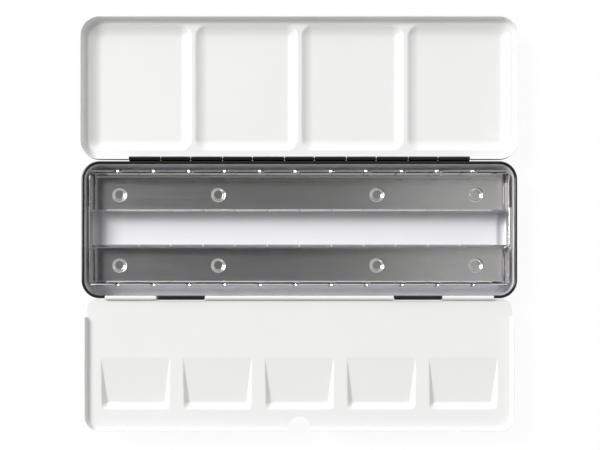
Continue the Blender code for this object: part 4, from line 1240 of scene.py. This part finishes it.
class PAINTBOX_OT_stage(bpy.types.Operator):
    """Makes the floor, the light and the camera"""

    bl_idname = "paintbox.stage"
    bl_label = "Stage"

    def execute(self, context):
        self.make_floor()
        self.make_world(context.scene)
        self.make_light()
        self.make_camera(context.scene)
        context.scene.view_settings.view_transform = "Standard"
        return {"FINISHED"}

    def make_floor(self):
        """A level disc of matt paper, 6 m across. For the camera 88 % of it is an even white and
        the rest holds the shadow, while everything else meets the paper's own colour."""
        white_share, white_strength = 0.88, 1.08
        bm = bmesh.new()
        bmesh.ops.create_circle(bm, cap_ends=True, segments=96, radius=3.0)
        mesh = bpy.data.meshes.new("paper_floor")
        bm.to_mesh(mesh)
        bm.free()
        floor = link("paper_floor", mesh)
        material, tree, shader = new_finish("matt_white_paper")
        shader.inputs["Base Color"].default_value = tuple(settings().colours.floor)
        shader.inputs["Roughness"].default_value = 0.9
        shader.inputs["Specular IOR Level"].default_value = 0.0
        white = {"Color": (1, 1, 1, 1), "Strength": white_strength}
        glow = add_node(tree, "ShaderNodeEmission", white)
        seen = add_node(tree, "ShaderNodeLightPath").outputs["Is Camera Ray"]
        share = add_node(tree, MATH, {1: white_share}, {0: seen}, operation="MULTIPLY")
        links = {0: share.outputs[0], 1: shader.outputs[0], 2: glow.outputs[0]}
        mix = add_node(tree, "ShaderNodeMixShader", None, links)
        tree.links.new(mix.outputs[0], tree.nodes["Material Output"].inputs["Surface"])
        mesh.materials.append(material)

    def make_world(self, scene):
        """A dark studio above the box, with a pale panel to the right that ends, and far out a
        pale wall on each side. Directions are told apart by their slopes x / z and y / z, so the
        edges that the tinplate mirrors run along X and Y. The camera sees white."""
        world = bpy.data.worlds.new("studio")
        scene.world = world
        world.use_nodes = True
        tree = world.node_tree
        way = add_node(tree, "ShaderNodeTexCoord").outputs["Generated"]
        axes = add_node(tree, "ShaderNodeSeparateXYZ", None, {0: way}).outputs
        up = add_node(tree, MATH, {1: 0.02}, {0: axes["Z"]}, operation="MAXIMUM").outputs[0]
        slopes = {
            key: add_node(tree, MATH, None, {0: axes[key], 1: up}, operation="DIVIDE").outputs[0]
            for key in ("X", "Y")
        }
        total = None
        # Each row: slope, where the change starts and ends, light before and after it, and how
        # that joins the light so far.
        for key, start, end, before, after, how in (
            ("X", 0.06, 0.12, 0.022, 0.24, None),
            ("X", 0.115, 0.26, 0.0, 0.3, "ADD"),
            ("X", 0.28, 0.34, 1.0, 0.1, "MULTIPLY"),
            ("X", 0.5, 0.62, 0.0, 0.55, "MAXIMUM"),
            ("X", -0.5, -0.95, 0.0, 0.38, "MAXIMUM"),
            ("Y", 0.3, 0.8, 0.0, 0.9, "MAXIMUM"),
            ("Y", -0.35, -0.8, 0.0, 0.34, "MAXIMUM"),
        ):
            values = {"From Min": start, "From Max": end, "To Min": before, "To Max": after}
            part = add_node(tree, RANGE, values, {"Value": slopes[key]})
            if how:
                links = {0: total.outputs[0], 1: part.outputs[0]}
                part = add_node(tree, MATH, None, links, operation=how)
            total = part
        links = {0: add_node(tree, "ShaderNodeLightPath").outputs["Is Camera Ray"]}
        links[1] = total.outputs[0]
        seen = add_node(tree, MATH, None, links, operation="MAXIMUM")
        tree.links.new(seen.outputs[0], tree.nodes["Background"].inputs["Color"])

    def make_light(self):
        """One long soft key from the left and a little behind, 4 m away."""
        distance = 4.0
        data = bpy.data.lights.new("key", "AREA")
        set_all(data, shape="RECTANGLE", size=1.5, size_y=1.8, energy=138.0)
        key = link("key", data)
        way = Vector((-0.93, 0.42, 1.0)).normalized()
        key.location = way * distance
        key.rotation_euler = way.to_track_quat("Z", "Y").to_euler()

    def make_camera(self, scene):
        """Looks straight down from 450 mm above the bead. The photograph's frame lies behind the
        point below the lens, so the lens is shifted up by 145 of the frame's 600 pixels. The
        box's middle is at pixel (299.35, 229.55), and a millimetre at the bead is 2.02 pixels."""
        width, height = 600, 450
        per_metre = 2020.0
        distance = 0.45
        below = (300.0, 370.0)
        middle = (299.35, 229.55)
        data = bpy.data.cameras.new("camera")
        set_all(data, sensor_fit="HORIZONTAL", sensor_width=36.0, clip_start=0.01)
        data.lens = per_metre * distance / width * data.sensor_width
        data.shift_x = (width / 2 - below[0]) / width
        data.shift_y = (below[1] - height / 2) / width
        camera = link("camera", data)
        body = settings().body
        centre_y = BODY_BACK_Y - body.depth / 2
        camera.location = (
            (below[0] - middle[0]) / per_metre,
            centre_y + (middle[1] - below[1]) / per_metre,
            body.height + distance,
        )
        scene.camera = camera

class PAINTBOX_PT_pieces(bpy.types.Panel):
    """Lists the pieces of the watercolour box"""

    bl_idname = "PAINTBOX_PT_pieces"
    bl_label = "Watercolour Box"
    bl_space_type = "VIEW_3D"
    bl_region_type = "UI"
    bl_category = "Paint Box"

    def draw(self, context):
        for operator in OPERATORS:
            self.layout.operator(operator.bl_idname)


GROUPS = (
    SheetSizes,
    BodySizes,
    LidSizes,
    FlapSizes,
    HingeSizes,
    RackSizes,
    RingSizes,
    FinishColours,
    BoxSettings,
)
OPERATORS = (
    PAINTBOX_OT_body,
    PAINTBOX_OT_lid,
    PAINTBOX_OT_flap,
    PAINTBOX_OT_lid_hinge,
    PAINTBOX_OT_flap_pin,
    PAINTBOX_OT_rack_frame,
    PAINTBOX_OT_channels,
    PAINTBOX_OT_ring,
    PAINTBOX_OT_stage,
)


def register():
    for item in (*GROUPS, *OPERATORS, PAINTBOX_PT_pieces):
        bpy.utils.register_class(item)
    bpy.types.Scene.watercolour_box = PointerProperty(type=BoxSettings)


def unregister():
    del bpy.types.Scene.watercolour_box
    for item in reversed((*GROUPS, *OPERATORS, PAINTBOX_PT_pieces)):
        bpy.utils.unregister_class(item)


def main():
    register()
    bpy.ops.paintbox.body()
    bpy.ops.paintbox.lid()
    bpy.ops.paintbox.flap()
    bpy.ops.paintbox.lid_hinge()
    bpy.ops.paintbox.flap_pin()
    bpy.ops.paintbox.rack_frame()
    bpy.ops.paintbox.channels()
    bpy.ops.paintbox.ring()
    bpy.ops.paintbox.stage()


if __name__ == "__main__":
    main()
